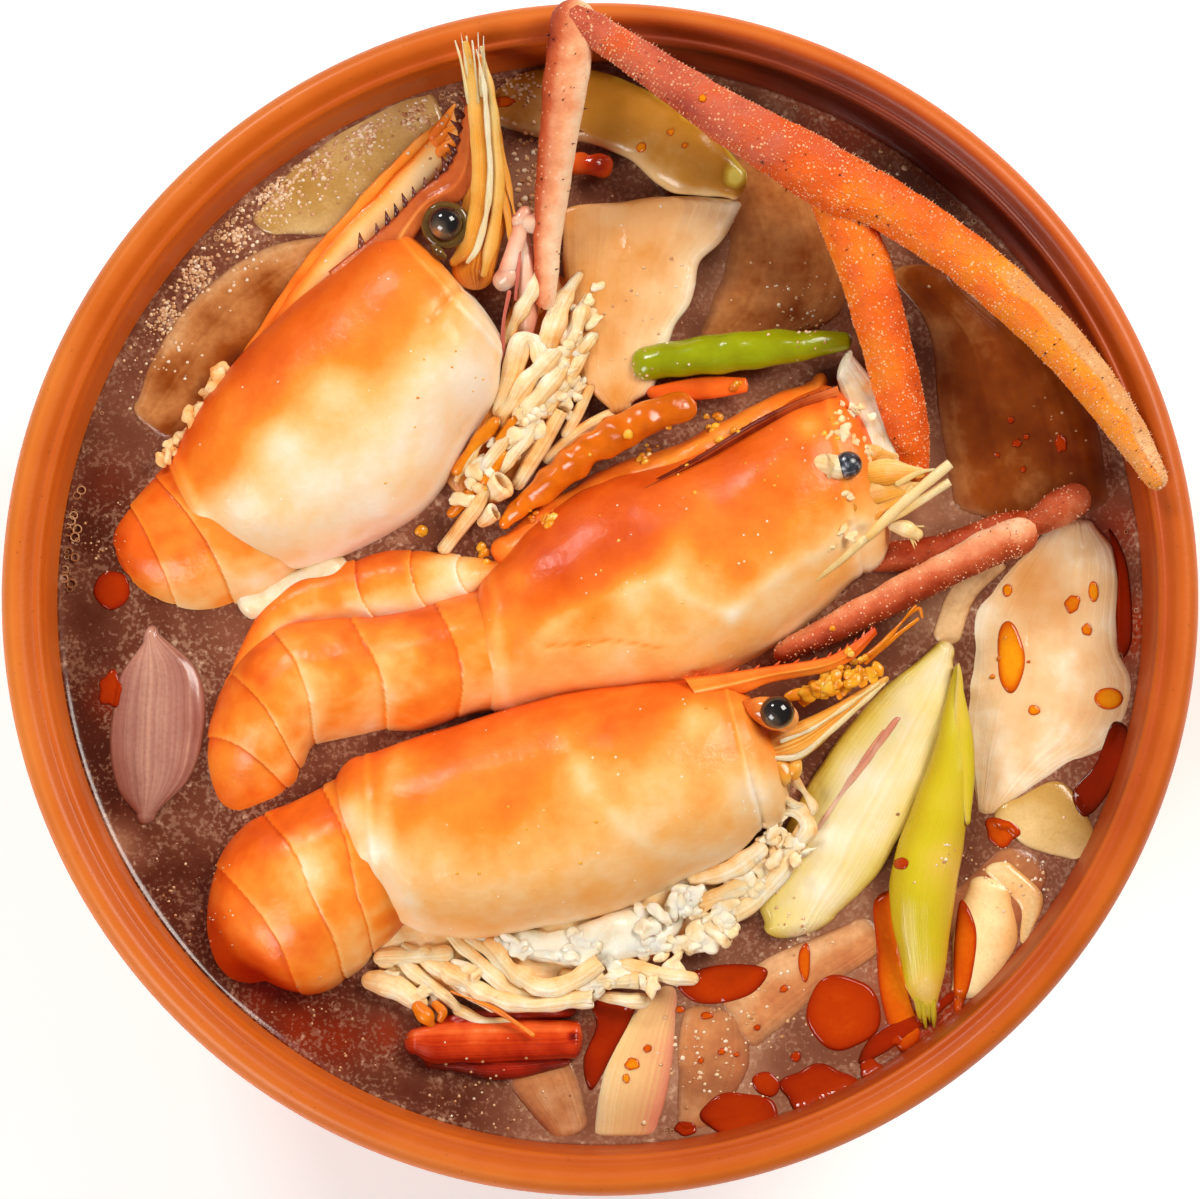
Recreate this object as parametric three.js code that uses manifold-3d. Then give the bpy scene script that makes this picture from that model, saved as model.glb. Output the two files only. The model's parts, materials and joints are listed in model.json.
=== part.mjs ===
// Tom yum soup: three whole river prawns, a pincer arm, mushrooms, lemongrass, chillies, shallots
// and green tomato in a murky broth, in the glazed terracotta bowl that holds them.
// Millimetres, +Z up, origin at the centre of the bowl's flat foot. +Y points to the bowl's far side.
import * as THREE from "three";
import { mergeVertices } from "three/addons/utils/BufferGeometryUtils.js";
import Module from "manifold-3d";

const wasm = await Module();
wasm.setup();

// ---------------------------------------------------------------- driving dimensions
const GAP = 0.35; // between pieces that touch
const SLIVER = 0.05; // a cut's edges and steps smaller than this are smoothed away
const GRAZE = 0.5; // mm3: a neighbour's margin that reaches in by less than this needs no cut
const BOWL = {
  rimRadius: 100,
  height: 78,
  footRadius: 57,
  footHeight: 4, // the upright edge of the foot
  footChamfer: 1,
  baseRadius: 60, // outside, where the wall starts above the foot
  neckRadius: 98, // outside, just under the rolled rim
  neckHeight: 70,
  innerFloorRadius: 50,
  floorHeight: 9,
  innerNeckRadius: 92.6,
  innerNeckHeight: 72,
  flare: 0.95, // under 1, the wall opens quickly above the foot
  wallSteps: 5,
  segments: 40,
};
const BROTH_LEVEL = 62;
// Corners of a lying body's section, over its top and along its sunk underside.
const CARAPACE_SIDES = [8, 2];
const ABDOMEN_SIDES = [7, 2];
const SLICE_SIDES = [4, 2];
const BUNDLE_SIDES = [7, 2];
const EDGE_INSET = 0.35; // how far the outermost top corners stand above the widest line, in corners
const LEG_SIDES = 4;
const PINCER_SIDES = 6;
const CAP_BULGE = 0.6; // of a limb's radius
const TOOTH_LEAN = 0.8; // of a tooth's height

// ---------------------------------------------------------------- colours
const finish = (color, roughness, metalness = 0) =>
  new THREE.MeshStandardMaterial({ color, roughness, metalness });
const FINISH = {
  terracotta: finish("#cc6a24", 0.35),
  broth: finish("#7a4430", 0.15),
  shell: finish("#ee7a2c", 0.3),
  shellPale: finish("#f8c088", 0.35),
  eye: finish("#2a2422", 0.1),
  legMeat: finish("#f4dcb0", 0.45),
  redShell: finish("#d84a1c", 0.3),
  pincer: finish("#e86a2c", 0.45),
  duskyLeg: finish("#a85a40", 0.5),
  mushroom: finish("#ecc8a0", 0.4),
  greenTomato: finish("#c8a860", 0.3),
  greenChilli: finish("#7ca018", 0.2),
  brownChilli: finish("#d0701c", 0.25),
  redChilli: finish("#f0601c", 0.3),
  lemongrassCut: finish("#dcd898", 0.4),
  lemongrassSkin: finish("#d8cc20", 0.35),
  shallot: finish("#c09484", 0.3),
  garlic: finish("#e8c898", 0.4),
};

// ---------------------------------------------------------------- solids and meshes
const point = (x, y, z = 0) => new THREE.Vector3(x, y, z);
const mix = THREE.MathUtils.lerp;

// A closed geometry with shared vertices and no empty triangles, its faces pointing out.
function closedGeometry(geometry) {
  geometry.deleteAttribute("normal");
  geometry.deleteAttribute("uv");
  const merged = mergeVertices(geometry, 1e-4);
  const corner = merged.index.array;
  const kept = [];
  for (let i = 0; i < corner.length; i += 3) {
    const [a, b, c] = [corner[i], corner[i + 1], corner[i + 2]];
    if (a !== b && b !== c && c !== a) kept.push(a, b, c);
  }
  merged.setIndex(kept);
  if (solidOf(merged).volume() < 0) merged.setIndex(kept.reverse());
  return merged;
}

function solidOf(geometry) {
  return new wasm.Manifold(
    new wasm.Mesh({
      numProp: 3,
      vertProperties: new Float32Array(geometry.attributes.position.array),
      triVerts: new Uint32Array(geometry.index.array),
    }),
  );
}

function geometryOf(solid) {
  const mesh = solid.getMesh();
  const geometry = new THREE.BufferGeometry();
  const position = new Float32Array(mesh.numVert * 3);
  for (let i = 0; i < mesh.numVert; i++) {
    const from = i * mesh.numProp;
    position.set(mesh.vertProperties.subarray(from, from + 3), i * 3);
  }
  geometry.setAttribute("position", new THREE.BufferAttribute(position, 3));
  geometry.setIndex(new THREE.BufferAttribute(mesh.triVerts, 1));
  return geometry;
}

// The same shape with every corner moved out along its normal, used to cut room in a neighbour.
function grown(geometry, by = GAP) {
  const larger = geometry.clone();
  larger.computeVertexNormals();
  const { position, normal } = larger.attributes;
  for (let i = 0; i < position.count; i++) {
    position.setXYZ(
      i,
      position.getX(i) + by * normal.getX(i),
      position.getY(i) + by * normal.getY(i),
      position.getZ(i) + by * normal.getZ(i),
    );
  }
  return solidOf(larger);
}

const largest = (solid) =>
  solid.decompose().reduce((a, b) => (a.volume() > b.volume() ? a : b));

const overlapping = (a, b) =>
  [0, 1, 2].every((i) => a.min[i] < b.max[i] && b.min[i] < a.max[i]);

// ---------------------------------------------------------------- shape makers
// Rings of equal length joined into one skin, closed by a tip at each end.
function skinOver(rings, startTip, endTip) {
  const sides = rings[0].length;
  const position = [];
  const index = [];
  for (const p of [...rings.flat(), startTip, endTip]) position.push(p.x, p.y, p.z);
  const start = rings.length * sides;
  const end = start + 1;
  const last = (rings.length - 1) * sides;
  for (let k = 0; k < sides; k++) {
    const next = (k + 1) % sides;
    for (let row = 0; row < last; row += sides) {
      index.push(row + k, row + next, row + sides + next);
      index.push(row + k, row + sides + next, row + sides + k);
    }
    index.push(start, next, k, end, last + k, last + next);
  }
  const geometry = new THREE.BufferGeometry();
  geometry.setAttribute("position", new THREE.Float32BufferAttribute(position, 3));
  geometry.setIndex(index);
  return closedGeometry(geometry);
}

// Rings that round an end off between its last ring and its tip.
function roundedEnd(ring, tip, rings) {
  const centre = ring
    .reduce((sum, p) => sum.add(p), point(0, 0))
    .divideScalar(ring.length);
  return Array.from({ length: rings }, (_, i) => {
    const angle = mix(0.15, 1.4, (i + 1) / (rings + 1)); // radians on a quarter circle
    const middle = centre.clone().lerp(tip, Math.sin(angle));
    return ring.map((p) =>
      p.clone().sub(centre).multiplyScalar(Math.cos(angle)).add(middle),
    );
  });
}

// A body that lies flat: it spans the plan between a left and a right edge, rises above
// its level and sinks below it. squareness 2 is an ellipse, and more is boxier.
// collars is the number of overlapping shell rings, each flared over the next.
// furrow lowers every other corner of the top, so the body reads as rods side by side.
function lyingBody({
  left,
  right,
  level,
  rise,
  sink = rise,
  startTip,
  endTip,
  steps = 7,
  sides: [over, under] = CARAPACE_SIDES,
  squareness = 2.2,
  collars = 0,
  flare = 0.07,
  furrow = 0,
  rounding = 2,
}) {
  const count = left.length;
  const list = (value) => (Array.isArray(value) ? value : Array(count).fill(value));
  const [levels, rises, sinks] = [level, rise, sink].map(list);
  const curve = (points) =>
    new THREE.CatmullRomCurve3(points, false, "catmullrom", 0.5);
  const leftEdge = curve(left.map(([x, y], i) => point(x, y, levels[i])));
  const rightEdge = curve(right.map(([x, y], i) => point(x, y, levels[i])));
  const height = curve(rises.map((up, i) => point(up, sinks[i])));
  const power = (v) => Math.sign(v) * Math.abs(v) ** (2 / squareness);
  const angles = [
    ...Array.from(
      { length: over },
      (_, k) => (Math.PI * (k + EDGE_INSET)) / (over - 1 + 2 * EDGE_INSET),
    ),
    ...Array.from({ length: under }, (_, k) => Math.PI * (1 + (k + 1) / (under + 1))),
  ];
  const ringAt = (t, scale) => {
    const [l, r, h] = [leftEdge, rightEdge, height].map((c) => c.getPoint(t));
    const centre = l.clone().add(r).multiplyScalar(0.5);
    const half = r.clone().sub(l).multiplyScalar(0.5 * scale);
    return angles.map((angle, k) => {
      const lift = power(Math.sin(angle)) * scale * (k % 2 ? 1 : 1 - furrow);
      const p = centre.clone().addScaledVector(half, power(Math.cos(angle)));
      p.z += lift * (lift > 0 ? h.x : h.y);
      return p;
    });
  };
  const stations = [];
  if (collars && flare) {
    for (let k = 0; k < collars; k++) {
      stations.push([(k + 0.05) / collars, 1 - flare]);
      stations.push([(k + 1) / collars, 1]);
    }
  } else {
    const spans = collars || steps;
    for (let i = 0; i <= spans; i++) stations.push([i / spans, 1]);
  }
  const rings = stations.map(([t, scale]) => ringAt(t, scale));
  const start = point(...startTip);
  const end = point(...endTip);
  return skinOver(
    [
      ...roundedEnd(rings[0], start, rounding).reverse(),
      ...rings,
      ...roundedEnd(rings.at(-1), end, rounding),
    ],
    start,
    end,
  );
}

// A round or flattened limb along a curve. Each point is [x, y, z, radius].
function limb(path, { sides = PINCER_SIDES, steps = 5, flat = 1 } = {}) {
  const axis = new THREE.CatmullRomCurve3(path.map(([x, y, z]) => point(x, y, z)));
  const girth = new THREE.CatmullRomCurve3(path.map((p) => point(p[3], 0)));
  const rings = [];
  for (let i = 0; i <= steps; i++) {
    const t = i / steps;
    const centre = axis.getPoint(t);
    const along = axis.getTangent(t);
    const across = along.clone().cross(point(0, 0, 1)).normalize();
    const over = across.clone().cross(along).multiplyScalar(flat);
    const radius = girth.getPoint(t).x;
    rings.push(
      Array.from({ length: sides }, (_, k) => {
        const angle = (2 * Math.PI * k) / sides;
        return centre
          .clone()
          .addScaledVector(across, radius * Math.cos(angle))
          .addScaledVector(over, radius * Math.sin(angle));
      }),
    );
  }
  const cap = (t, ring, sign) =>
    axis
      .getPoint(t)
      .addScaledVector(
        axis.getTangent(t),
        sign * CAP_BULGE * ring[0].distanceTo(axis.getPoint(t)),
      );
  return skinOver(rings, cap(0, rings[0], -1), cap(1, rings.at(-1), 1));
}

// A thin toothed blade: teeth stand on the ridge edge, and the keel edge is plain.
// filled closes the notches between the teeth.
function toothedBlade({ ridge, keel, teeth, tooth, filled, thickness, base, tip }) {
  const edge = (points) => new THREE.CatmullRomCurve3(points.map(([x, y]) => point(x, y)));
  const [ridgeEdge, keelEdge] = [edge(ridge), edge(keel)];
  const outline = [];
  for (let i = 0; i <= 2 * teeth; i++) {
    const t = i / (2 * teeth);
    const along = ridgeEdge.getTangent(t);
    const out = i % 2 || filled ? tooth : 0;
    const lean = i % 2 ? tooth * TOOTH_LEAN : 0;
    const p = ridgeEdge.getPoint(t).addScaledVector(along, lean);
    outline.push(new THREE.Vector2(p.x - along.y * out, p.y + along.x * out));
  }
  for (let i = 4; i >= 0; i--) {
    const p = keelEdge.getPoint(i / 4);
    outline.push(new THREE.Vector2(p.x, p.y));
  }
  const geometry = new THREE.ExtrudeGeometry(new THREE.Shape(outline), {
    depth: thickness,
    bevelEnabled: false,
  });
  const from = point(...ridge[0]);
  const length = from.distanceTo(point(...ridge.at(-1)));
  const position = geometry.attributes.position;
  for (let i = 0; i < position.count; i++) {
    const reach = Math.hypot(position.getX(i) - from.x, position.getY(i) - from.y) / length;
    position.setZ(i, position.getZ(i) - thickness / 2 + mix(base, tip, reach));
  }
  return closedGeometry(geometry);
}

function ball([x, y, z], radius, squash = 1) {
  const geometry = new THREE.SphereGeometry(radius, 9, 6);
  geometry.scale(1, 1, squash);
  geometry.translate(x, y, z);
  return closedGeometry(geometry);
}

const joined = (...parts) =>
  geometryOf(parts.map(solidOf).reduce((sum, solid) => sum.add(solid)));

// ---------------------------------------------------------------- bowl and broth
// A wall profile from the floor's edge up to the neck, as [radius, height] points.
function wallProfile([floorRadius, floorHeight], [neckRadius, neckHeight]) {
  const points = [];
  for (let i = 0; i <= BOWL.wallSteps; i++) {
    const angle = (Math.PI / 2) * (i / BOWL.wallSteps);
    points.push([
      mix(floorRadius, neckRadius, Math.sin(angle) ** BOWL.flare),
      mix(floorHeight, neckHeight, 1 - Math.cos(angle)),
    ]);
  }
  return points;
}

function turned(profile) {
  const points = profile.map(([radius, height]) => new THREE.Vector2(radius, height));
  const geometry = new THREE.LatheGeometry(points, BOWL.segments);
  geometry.rotateX(Math.PI / 2);
  return closedGeometry(geometry);
}

function bowl() {
  const { rimRadius: rim, height: top, innerNeckRadius: mouth } = BOWL;
  const outside = wallProfile(
    [BOWL.baseRadius, BOWL.footHeight + BOWL.footChamfer],
    [BOWL.neckRadius, BOWL.neckHeight],
  );
  const inside = wallProfile(
    [BOWL.innerFloorRadius, BOWL.floorHeight],
    [mouth, BOWL.innerNeckHeight],
  );
  const rolledRim = [
    [rim, top - 4],
    [rim - 0.5, top - 1],
    [rim - 2.2, top],
    [rim - 3.8, top - 0.5],
    [rim - 4.8, top - 1.7], // shallow groove inside the roll
    [rim - 5.8, top - 1.4],
    [mouth + 0.3, top - 2.8],
  ];
  return turned([
    [0, 0],
    [BOWL.footRadius - BOWL.footChamfer, 0],
    [BOWL.footRadius, BOWL.footChamfer],
    [BOWL.footRadius, BOWL.footHeight],
    ...outside,
    ...rolledRim,
    ...inside.reverse(),
    [0, BOWL.floorHeight],
  ]);
}

// The broth follows the bowl's inner wall a gap away, up to its level.
function broth() {
  const wall = wallProfile(
    [BOWL.innerFloorRadius, BOWL.floorHeight],
    [BOWL.innerNeckRadius, BOWL.innerNeckHeight],
  ).map(([radius, height]) => [radius - GAP, height + GAP]);
  const above = wall.findIndex(([, height]) => height > BROTH_LEVEL);
  const [[lowRadius, low], [highRadius, high]] = wall.slice(above - 1, above + 1);
  const edge = mix(lowRadius, highRadius, (BROTH_LEVEL - low) / (high - low));
  return turned([
    [0, wall[0][1]],
    ...wall.slice(0, above),
    [edge, BROTH_LEVEL],
    [0, BROTH_LEVEL],
  ]);
}

// ---------------------------------------------------------------- prawns
// left is a prawn's back edge and right its belly edge, from the hind end to the head.
const prawn1 = {
  carapace: {
    left: [
      [-73, 24], [-68, 33], [-60.5, 42.5], [-51, 50.5], [-43.5, 57.5], [-38.5, 63],
      [-34.5, 66.5],
    ],
    right: [[-65.5, 6.5], [-52.5, 5], [-40, 9], [-29, 16], [-22, 27], [-17.5, 34], [-16.5, 41.5]],
    level: [60, 61, 62, 63, 64, 65, 66],
    rise: [9, 13, 15.5, 16.5, 16, 14.5, 11],
    sink: [9, 12, 13, 13, 13, 12, 9],
    startTip: [-71, 16.5, 60],
    endTip: [-24, 56.5, 66],
  },
  abdomen: {
    left: [[-68, 26], [-74.5, 23], [-79, 20], [-84, 15.5], [-86, 10.5]],
    right: [[-48, 7], [-57, 0.5], [-67.5, -3], [-75, -2.5], [-81, 0.5]],
    level: [60, 58, 56.5, 54.5, 52],
    rise: [11, 11.5, 10.5, 9.5, 8],
    sink: [10, 9, 8, 7, 6],
    startTip: [-55, 18, 60],
    endTip: [-84.5, 5, 49],
    collars: 3,
  },
  rostrum: {
    ridge: [[-42, 61], [-34.5, 66.5], [-29, 71.5], [-25, 76], [-22.5, 84]],
    keel: [[-36, 58], [-30, 64], [-24, 70.5], [-21.5, 77], [-20.5, 84]],
    base: 70,
    tip: 75,
  },
  eye: [-26, 62.5, 74.5],
  backShell: {
    left: [[-25.5, 86], [-33, 78.5], [-41.5, 69], [-52.5, 56], [-60.5, 40.5]],
    right: [[-21.5, 82], [-28, 73], [-35.5, 63.5], [-45, 54], [-52, 44]],
    level: [66.5, 65, 64, 63, 61.5],
    rise: [1.5, 2.4, 3, 3, 2],
    startTip: [-22.5, 88, 67],
    endTip: [-58, 38, 61],
  },
  antennaScale: {
    left: [[-25, 55], [-23.5, 66.5], [-22.5, 80.5], [-24.5, 91.5]],
    right: [[-18, 55], [-15, 66.5], [-16.5, 80.5], [-19, 92]],
    level: [70, 73, 76.5, 80],
    rise: [3.2, 2.6, 1.8, 1],
    startTip: [-21, 52, 69],
    endTip: [-22, 93.5, 80.4],
  },
  swimmerets: {
    left: [[-60, 3], [-55, 4], [-48, 6]],
    right: [[-58, -3], [-51, -1], [-45, 3]],
    level: 60,
    rise: 3.4,
    startTip: [-62, -1, 60],
    endTip: [-44, 6, 60],
  },
};

const prawn2 = {
  carapace: {
    left: [
      [-19, 3.5], [-12, 11.5], [-2, 19], [7, 22], [16.5, 25], [25, 29.5], [32.5, 34], [38.5, 36],
    ],
    right: [
      [-17, -19], [-6.5, -17.5], [4.5, -16.5], [15.5, -15.5], [24, -11.5], [32.5, -6],
      [39, -0.5], [44.5, 4.5],
    ],
    level: [61.5, 62, 62, 62, 62, 62.5, 63, 63.5],
    rise: [12.5, 14, 15, 15.5, 15.5, 15, 13.5, 11],
    sink: [11, 12, 12, 12, 12, 12, 11, 9],
    startTip: [-21, -8, 61.5],
    endTip: [48.5, 20, 64],
  },
  abdomen: {
    left: [
      [-12, 5], [-22, 1], [-34.5, -2.5], [-46, -3], [-56, -6], [-63, -13], [-67, -23.5],
      [-67.5, -32.5],
    ],
    right: [
      [-12, -18.5], [-19.5, -19], [-29, -22], [-39, -22.5], [-48, -25], [-50.5, -29],
      [-52.5, -32.5], [-57.5, -36.5],
    ],
    level: [61.5, 61.5, 61, 60.5, 60, 59.5, 57.5, 54],
    rise: [12, 12.5, 12.5, 12.5, 12.5, 12, 11, 9],
    sink: 10,
    startTip: [-6, -7, 61.5],
    endTip: [-63.5, -40, 50],
    collars: 6,
  },
  crest: {
    ridge: [[12, 22.5], [20, 27], [27, 31.5], [33.5, 35.5], [39, 37.5]],
    keel: [[14, 17], [22, 21], [29, 26], [35, 30.5], [39, 33]],
    base: 70,
    tip: 68,
  },
  eye: [41.5, 21.5, 74.5],
  eyeStalk: [[36, 22.5, 74, 2.6], [39, 22, 74.3, 2.6], [41, 21.6, 74.5, 2.4]],
  backShell: {
    left: [[-16, 10.5], [-2, 20.5], [13.5, 27], [27.5, 33.5], [36, 37.5]],
    right: [[-12, 3], [0, 12], [14, 18], [28, 25], [37, 30]],
    level: 62,
    rise: [4, 5, 6, 6, 4],
    sink: 5,
    startTip: [-18, 7, 62],
    endTip: [39, 37, 62],
  },
  headPlate: {
    left: [[40, 37], [42, 30], [44, 22]],
    right: [[43, 41], [49.5, 32], [51.5, 21]],
    level: 66,
    rise: [1.5, 2.5, 2],
    startTip: [41.5, 41.5, 66],
    endTip: [48, 18, 66],
  },
  antennaScale: {
    left: [[44, 17], [50, 20.5], [58, 22.5]],
    right: [[45, 7], [51, 13], [59, 19.5]],
    level: [66, 67.5, 69],
    rise: [3, 2.4, 1],
    startTip: [41, 9, 65],
    endTip: [60.5, 21.5, 69],
  },
  curledTail: {
    left: [[-63.5, -13], [-57.5, -2], [-50, 4], [-42.5, 6.5], [-35, 8.5], [-27.5, 8], [-18, 6.5]],
    right: [[-61, -15], [-54, -6], [-47, -5], [-38, -5], [-31, -4], [-24, -2], [-17, 1]],
    level: 61,
    rise: [2, 3, 4, 5, 5.5, 5, 3],
    startTip: [-64, -16, 61],
    endTip: [-14, 5, 61],
    collars: 3,
  },
};

const prawn3 = {
  carapace: {
    left: [
      [-40, -27], [-34, -24.5], [-25.5, -21.5], [-13.5, -18], [-1.5, -15.5], [8.5, -14],
      [17, -13], [21, -13],
    ],
    right: [
      [-38, -52], [-31, -56], [-22, -57.5], [-10, -56], [2.5, -53], [13.5, -48], [23, -43],
      [27, -38.5],
    ],
    level: [63, 63.5, 63.5, 63.5, 63.5, 64, 64.5, 65],
    rise: [13, 15, 16, 16.5, 16.5, 15.5, 13.5, 11.5],
    sink: [11, 12, 12, 12, 12, 12, 11, 9],
    startTip: [-45.5, -39.5, 63],
    endTip: [31, -28, 65],
  },
  abdomen: {
    left: [
      [-33, -26], [-43, -30], [-52, -34.5], [-60, -38.5], [-65, -46], [-66.5, -55.5], [-65, -66],
      [-55, -76], [-42, -79.5], [-32, -80],
    ],
    right: [
      [-33, -55.5], [-37, -58.5], [-40, -62], [-44.5, -65.5], [-50.5, -67], [-55.5, -65],
      [-54, -66], [-49, -68], [-41, -70], [-32, -72],
    ],
    level: [62, 62, 62, 61.5, 60.5, 58, 55.5, 55, 55, 57],
    rise: [12.5, 13, 13, 12.5, 11, 9, 5.8, 5, 5, 4],
    sink: [10, 10, 10, 10, 9, 8, 6, 5, 5, 4],
    startTip: [-28, -40, 62],
    endTip: [-30.5, -76, 57.5],
    collars: 6,
  },
  rostrum: {
    ridge: [[15, -14], [21, -12.5], [29, -11], [38, -9], [44, -6.5], [47, -4.5]],
    keel: [[17, -20], [24, -18], [32, -16], [40.5, -13.5], [46, -10], [48, -7]],
    base: 70,
    tip: 71,
  },
  eye: [29.5, -20, 76],
  antennaScale: {
    left: [[26, -24], [33, -20], [40, -15.5], [47.5, -12.5]],
    right: [[30, -30], [35.5, -26], [41, -21.5], [47.5, -15.5]],
    level: [68, 69.5, 70, 70],
    rise: [3.4, 3, 2.4, 1.2],
    startTip: [24, -28, 67],
    endTip: [49, -13, 70],
  },
  tailFan: {
    left: [[-31, -73], [-27, -69.5], [-16, -68.2], [-3.5, -69]],
    right: [[-31, -77], [-28, -79.5], [-16, -81], [-4.5, -78.5]],
    level: [61.5, 62.5, 63, 63],
    rise: [2, 3, 3, 2.2],
    startTip: [-32, -75, 61],
    endTip: [-3, -73.5, 63],
  },
};

const TOOTH = { teeth: 6, tooth: 1.1, thickness: 2.2 };
const EYE_RADIUS = 2.9;

const carapaceOf = (prawn, blade, shape = {}) =>
  joined(lyingBody(prawn.carapace), toothedBlade({ ...TOOTH, ...blade, ...shape }));
const FILLED = { teeth: 3, filled: true };
// The room a flared or toothed piece takes is cut without its steps and notches.
const SMOOTH = { flare: 0 };
const abdomenOf = (prawn, shape = {}) =>
  lyingBody({ ...prawn.abdomen, sides: ABDOMEN_SIDES, squareness: 2.1, ...shape });
const curledTail = (shape = {}) =>
  lyingBody({ ...prawn2.curledTail, sides: SLICE_SIDES, rounding: 1, ...shape });
const thinPlate = (plan) =>
  lyingBody({ ...plan, sides: SLICE_SIDES, steps: 4, squareness: 2.4, rounding: 1 });

// Walking legs packed side by side along the belly, one ridge for each.
const legBundle = (plan) =>
  lyingBody({ ...plan, sides: BUNDLE_SIDES, furrow: 0.45, steps: 4, squareness: 3, rounding: 1 });

const prawn1Legs = {
  left: [[-14, 53], [-18, 42], [-22, 32], [-27, 22]],
  right: [[-3, 52], [-3, 42], [-7, 30], [-15, 18]],
  level: [65, 64, 63, 62],
  rise: [3, 4.5, 4.5, 3],
  sink: 4,
  startTip: [-7, 55, 65],
  endTip: [-22, 16, 61.5],
};

const prawn3Legs = {
  left: [[-35, -53], [-15, -54], [5, -50], [22, -42]],
  right: [[-37, -67], [-18, -70], [2, -69], [12, -61]],
  level: 61.5,
  rise: [3, 4.5, 4.5, 3],
  sink: 4,
  startTip: [-38, -60, 61.5],
  endTip: [22, -52, 62],
};

// Mouth-part legs that hang in front of a head, from the eye down to the belly.
const mouthLegs = (paths) =>
  paths.map((path) => limb(path, { sides: LEG_SIDES, steps: 3 }));
const prawn1Mouth = [
  [[-15, 44, 67, 1.6], [-13.5, 53, 68, 1.9], [-12, 60, 69, 2.1], [-10, 66, 69, 1.8]],
  [[-17, 40, 65, 1.6], [-11, 47, 66, 1.8], [-5, 54, 66, 1.6], [-3, 52, 65, 1.2]],
];
const prawn3Mouth = [
  [[33.5, -31, 67, 1.2], [33, -39, 67, 1.7], [27, -46, 66, 1.9], [20, -52, 64, 1.6]],
  [[22, -53, 64, 2.8], [17, -56, 64, 3], [12, -58.5, 63, 2.4]],
];

// ---------------------------------------------------------------- pincer arm and front leg
const ELBOW = [-4, 95.5, 83.5];
const pincer = {
  upperArm: [[...ELBOW, 3.1], [-6, 80, 80, 3], [-8, 66, 75, 3.1], [-9.5, 50, 70.5, 2.6]],
  forearm: [
    [...ELBOW, 2.6], [7, 88.5, 83, 3.2], [20, 79.5, 82, 3.9], [32, 72.5, 80.5, 4.6],
    [40, 67.5, 79, 4.8],
  ],
  fixedFinger: [
    [38, 68.5, 79, 4.6],
    [48.5, 64.3, 79, 4],
    [59.5, 57, 79, 4],
    [70, 48, 79, 3.8],
    [80, 37.5, 79.2, 3.4],
    [87.5, 27, 79.6, 2.8],
    [92.4, 18, 80.5, 1.6],
  ],
  movingFinger: [
    [39.5, 66, 76.5, 4], [44.5, 54.5, 75, 4.2], [48.5, 41, 72, 3.8], [51.5, 30, 69, 3.5],
    [52.8, 22, 66, 2.8],
  ],
};
const frontLeg = {
  rear: [[79.5, 15.5, 66.5, 2.9], [69, 12, 66, 2.8], [57.5, 8, 64, 2.6], [47, 7, 62, 2.4]],
  front: [
    [70, 11.5, 70.5, 3.2], [57.5, 4.8, 70, 2.9], [44, -2.6, 68.5, 2.6], [31, -8.5, 66.5, 1.8],
  ],
};

// ---------------------------------------------------------------- vegetables
const slice = (plan) =>
  lyingBody({ sides: SLICE_SIDES, steps: 4, squareness: 3, rounding: 1, ...plan });

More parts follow.
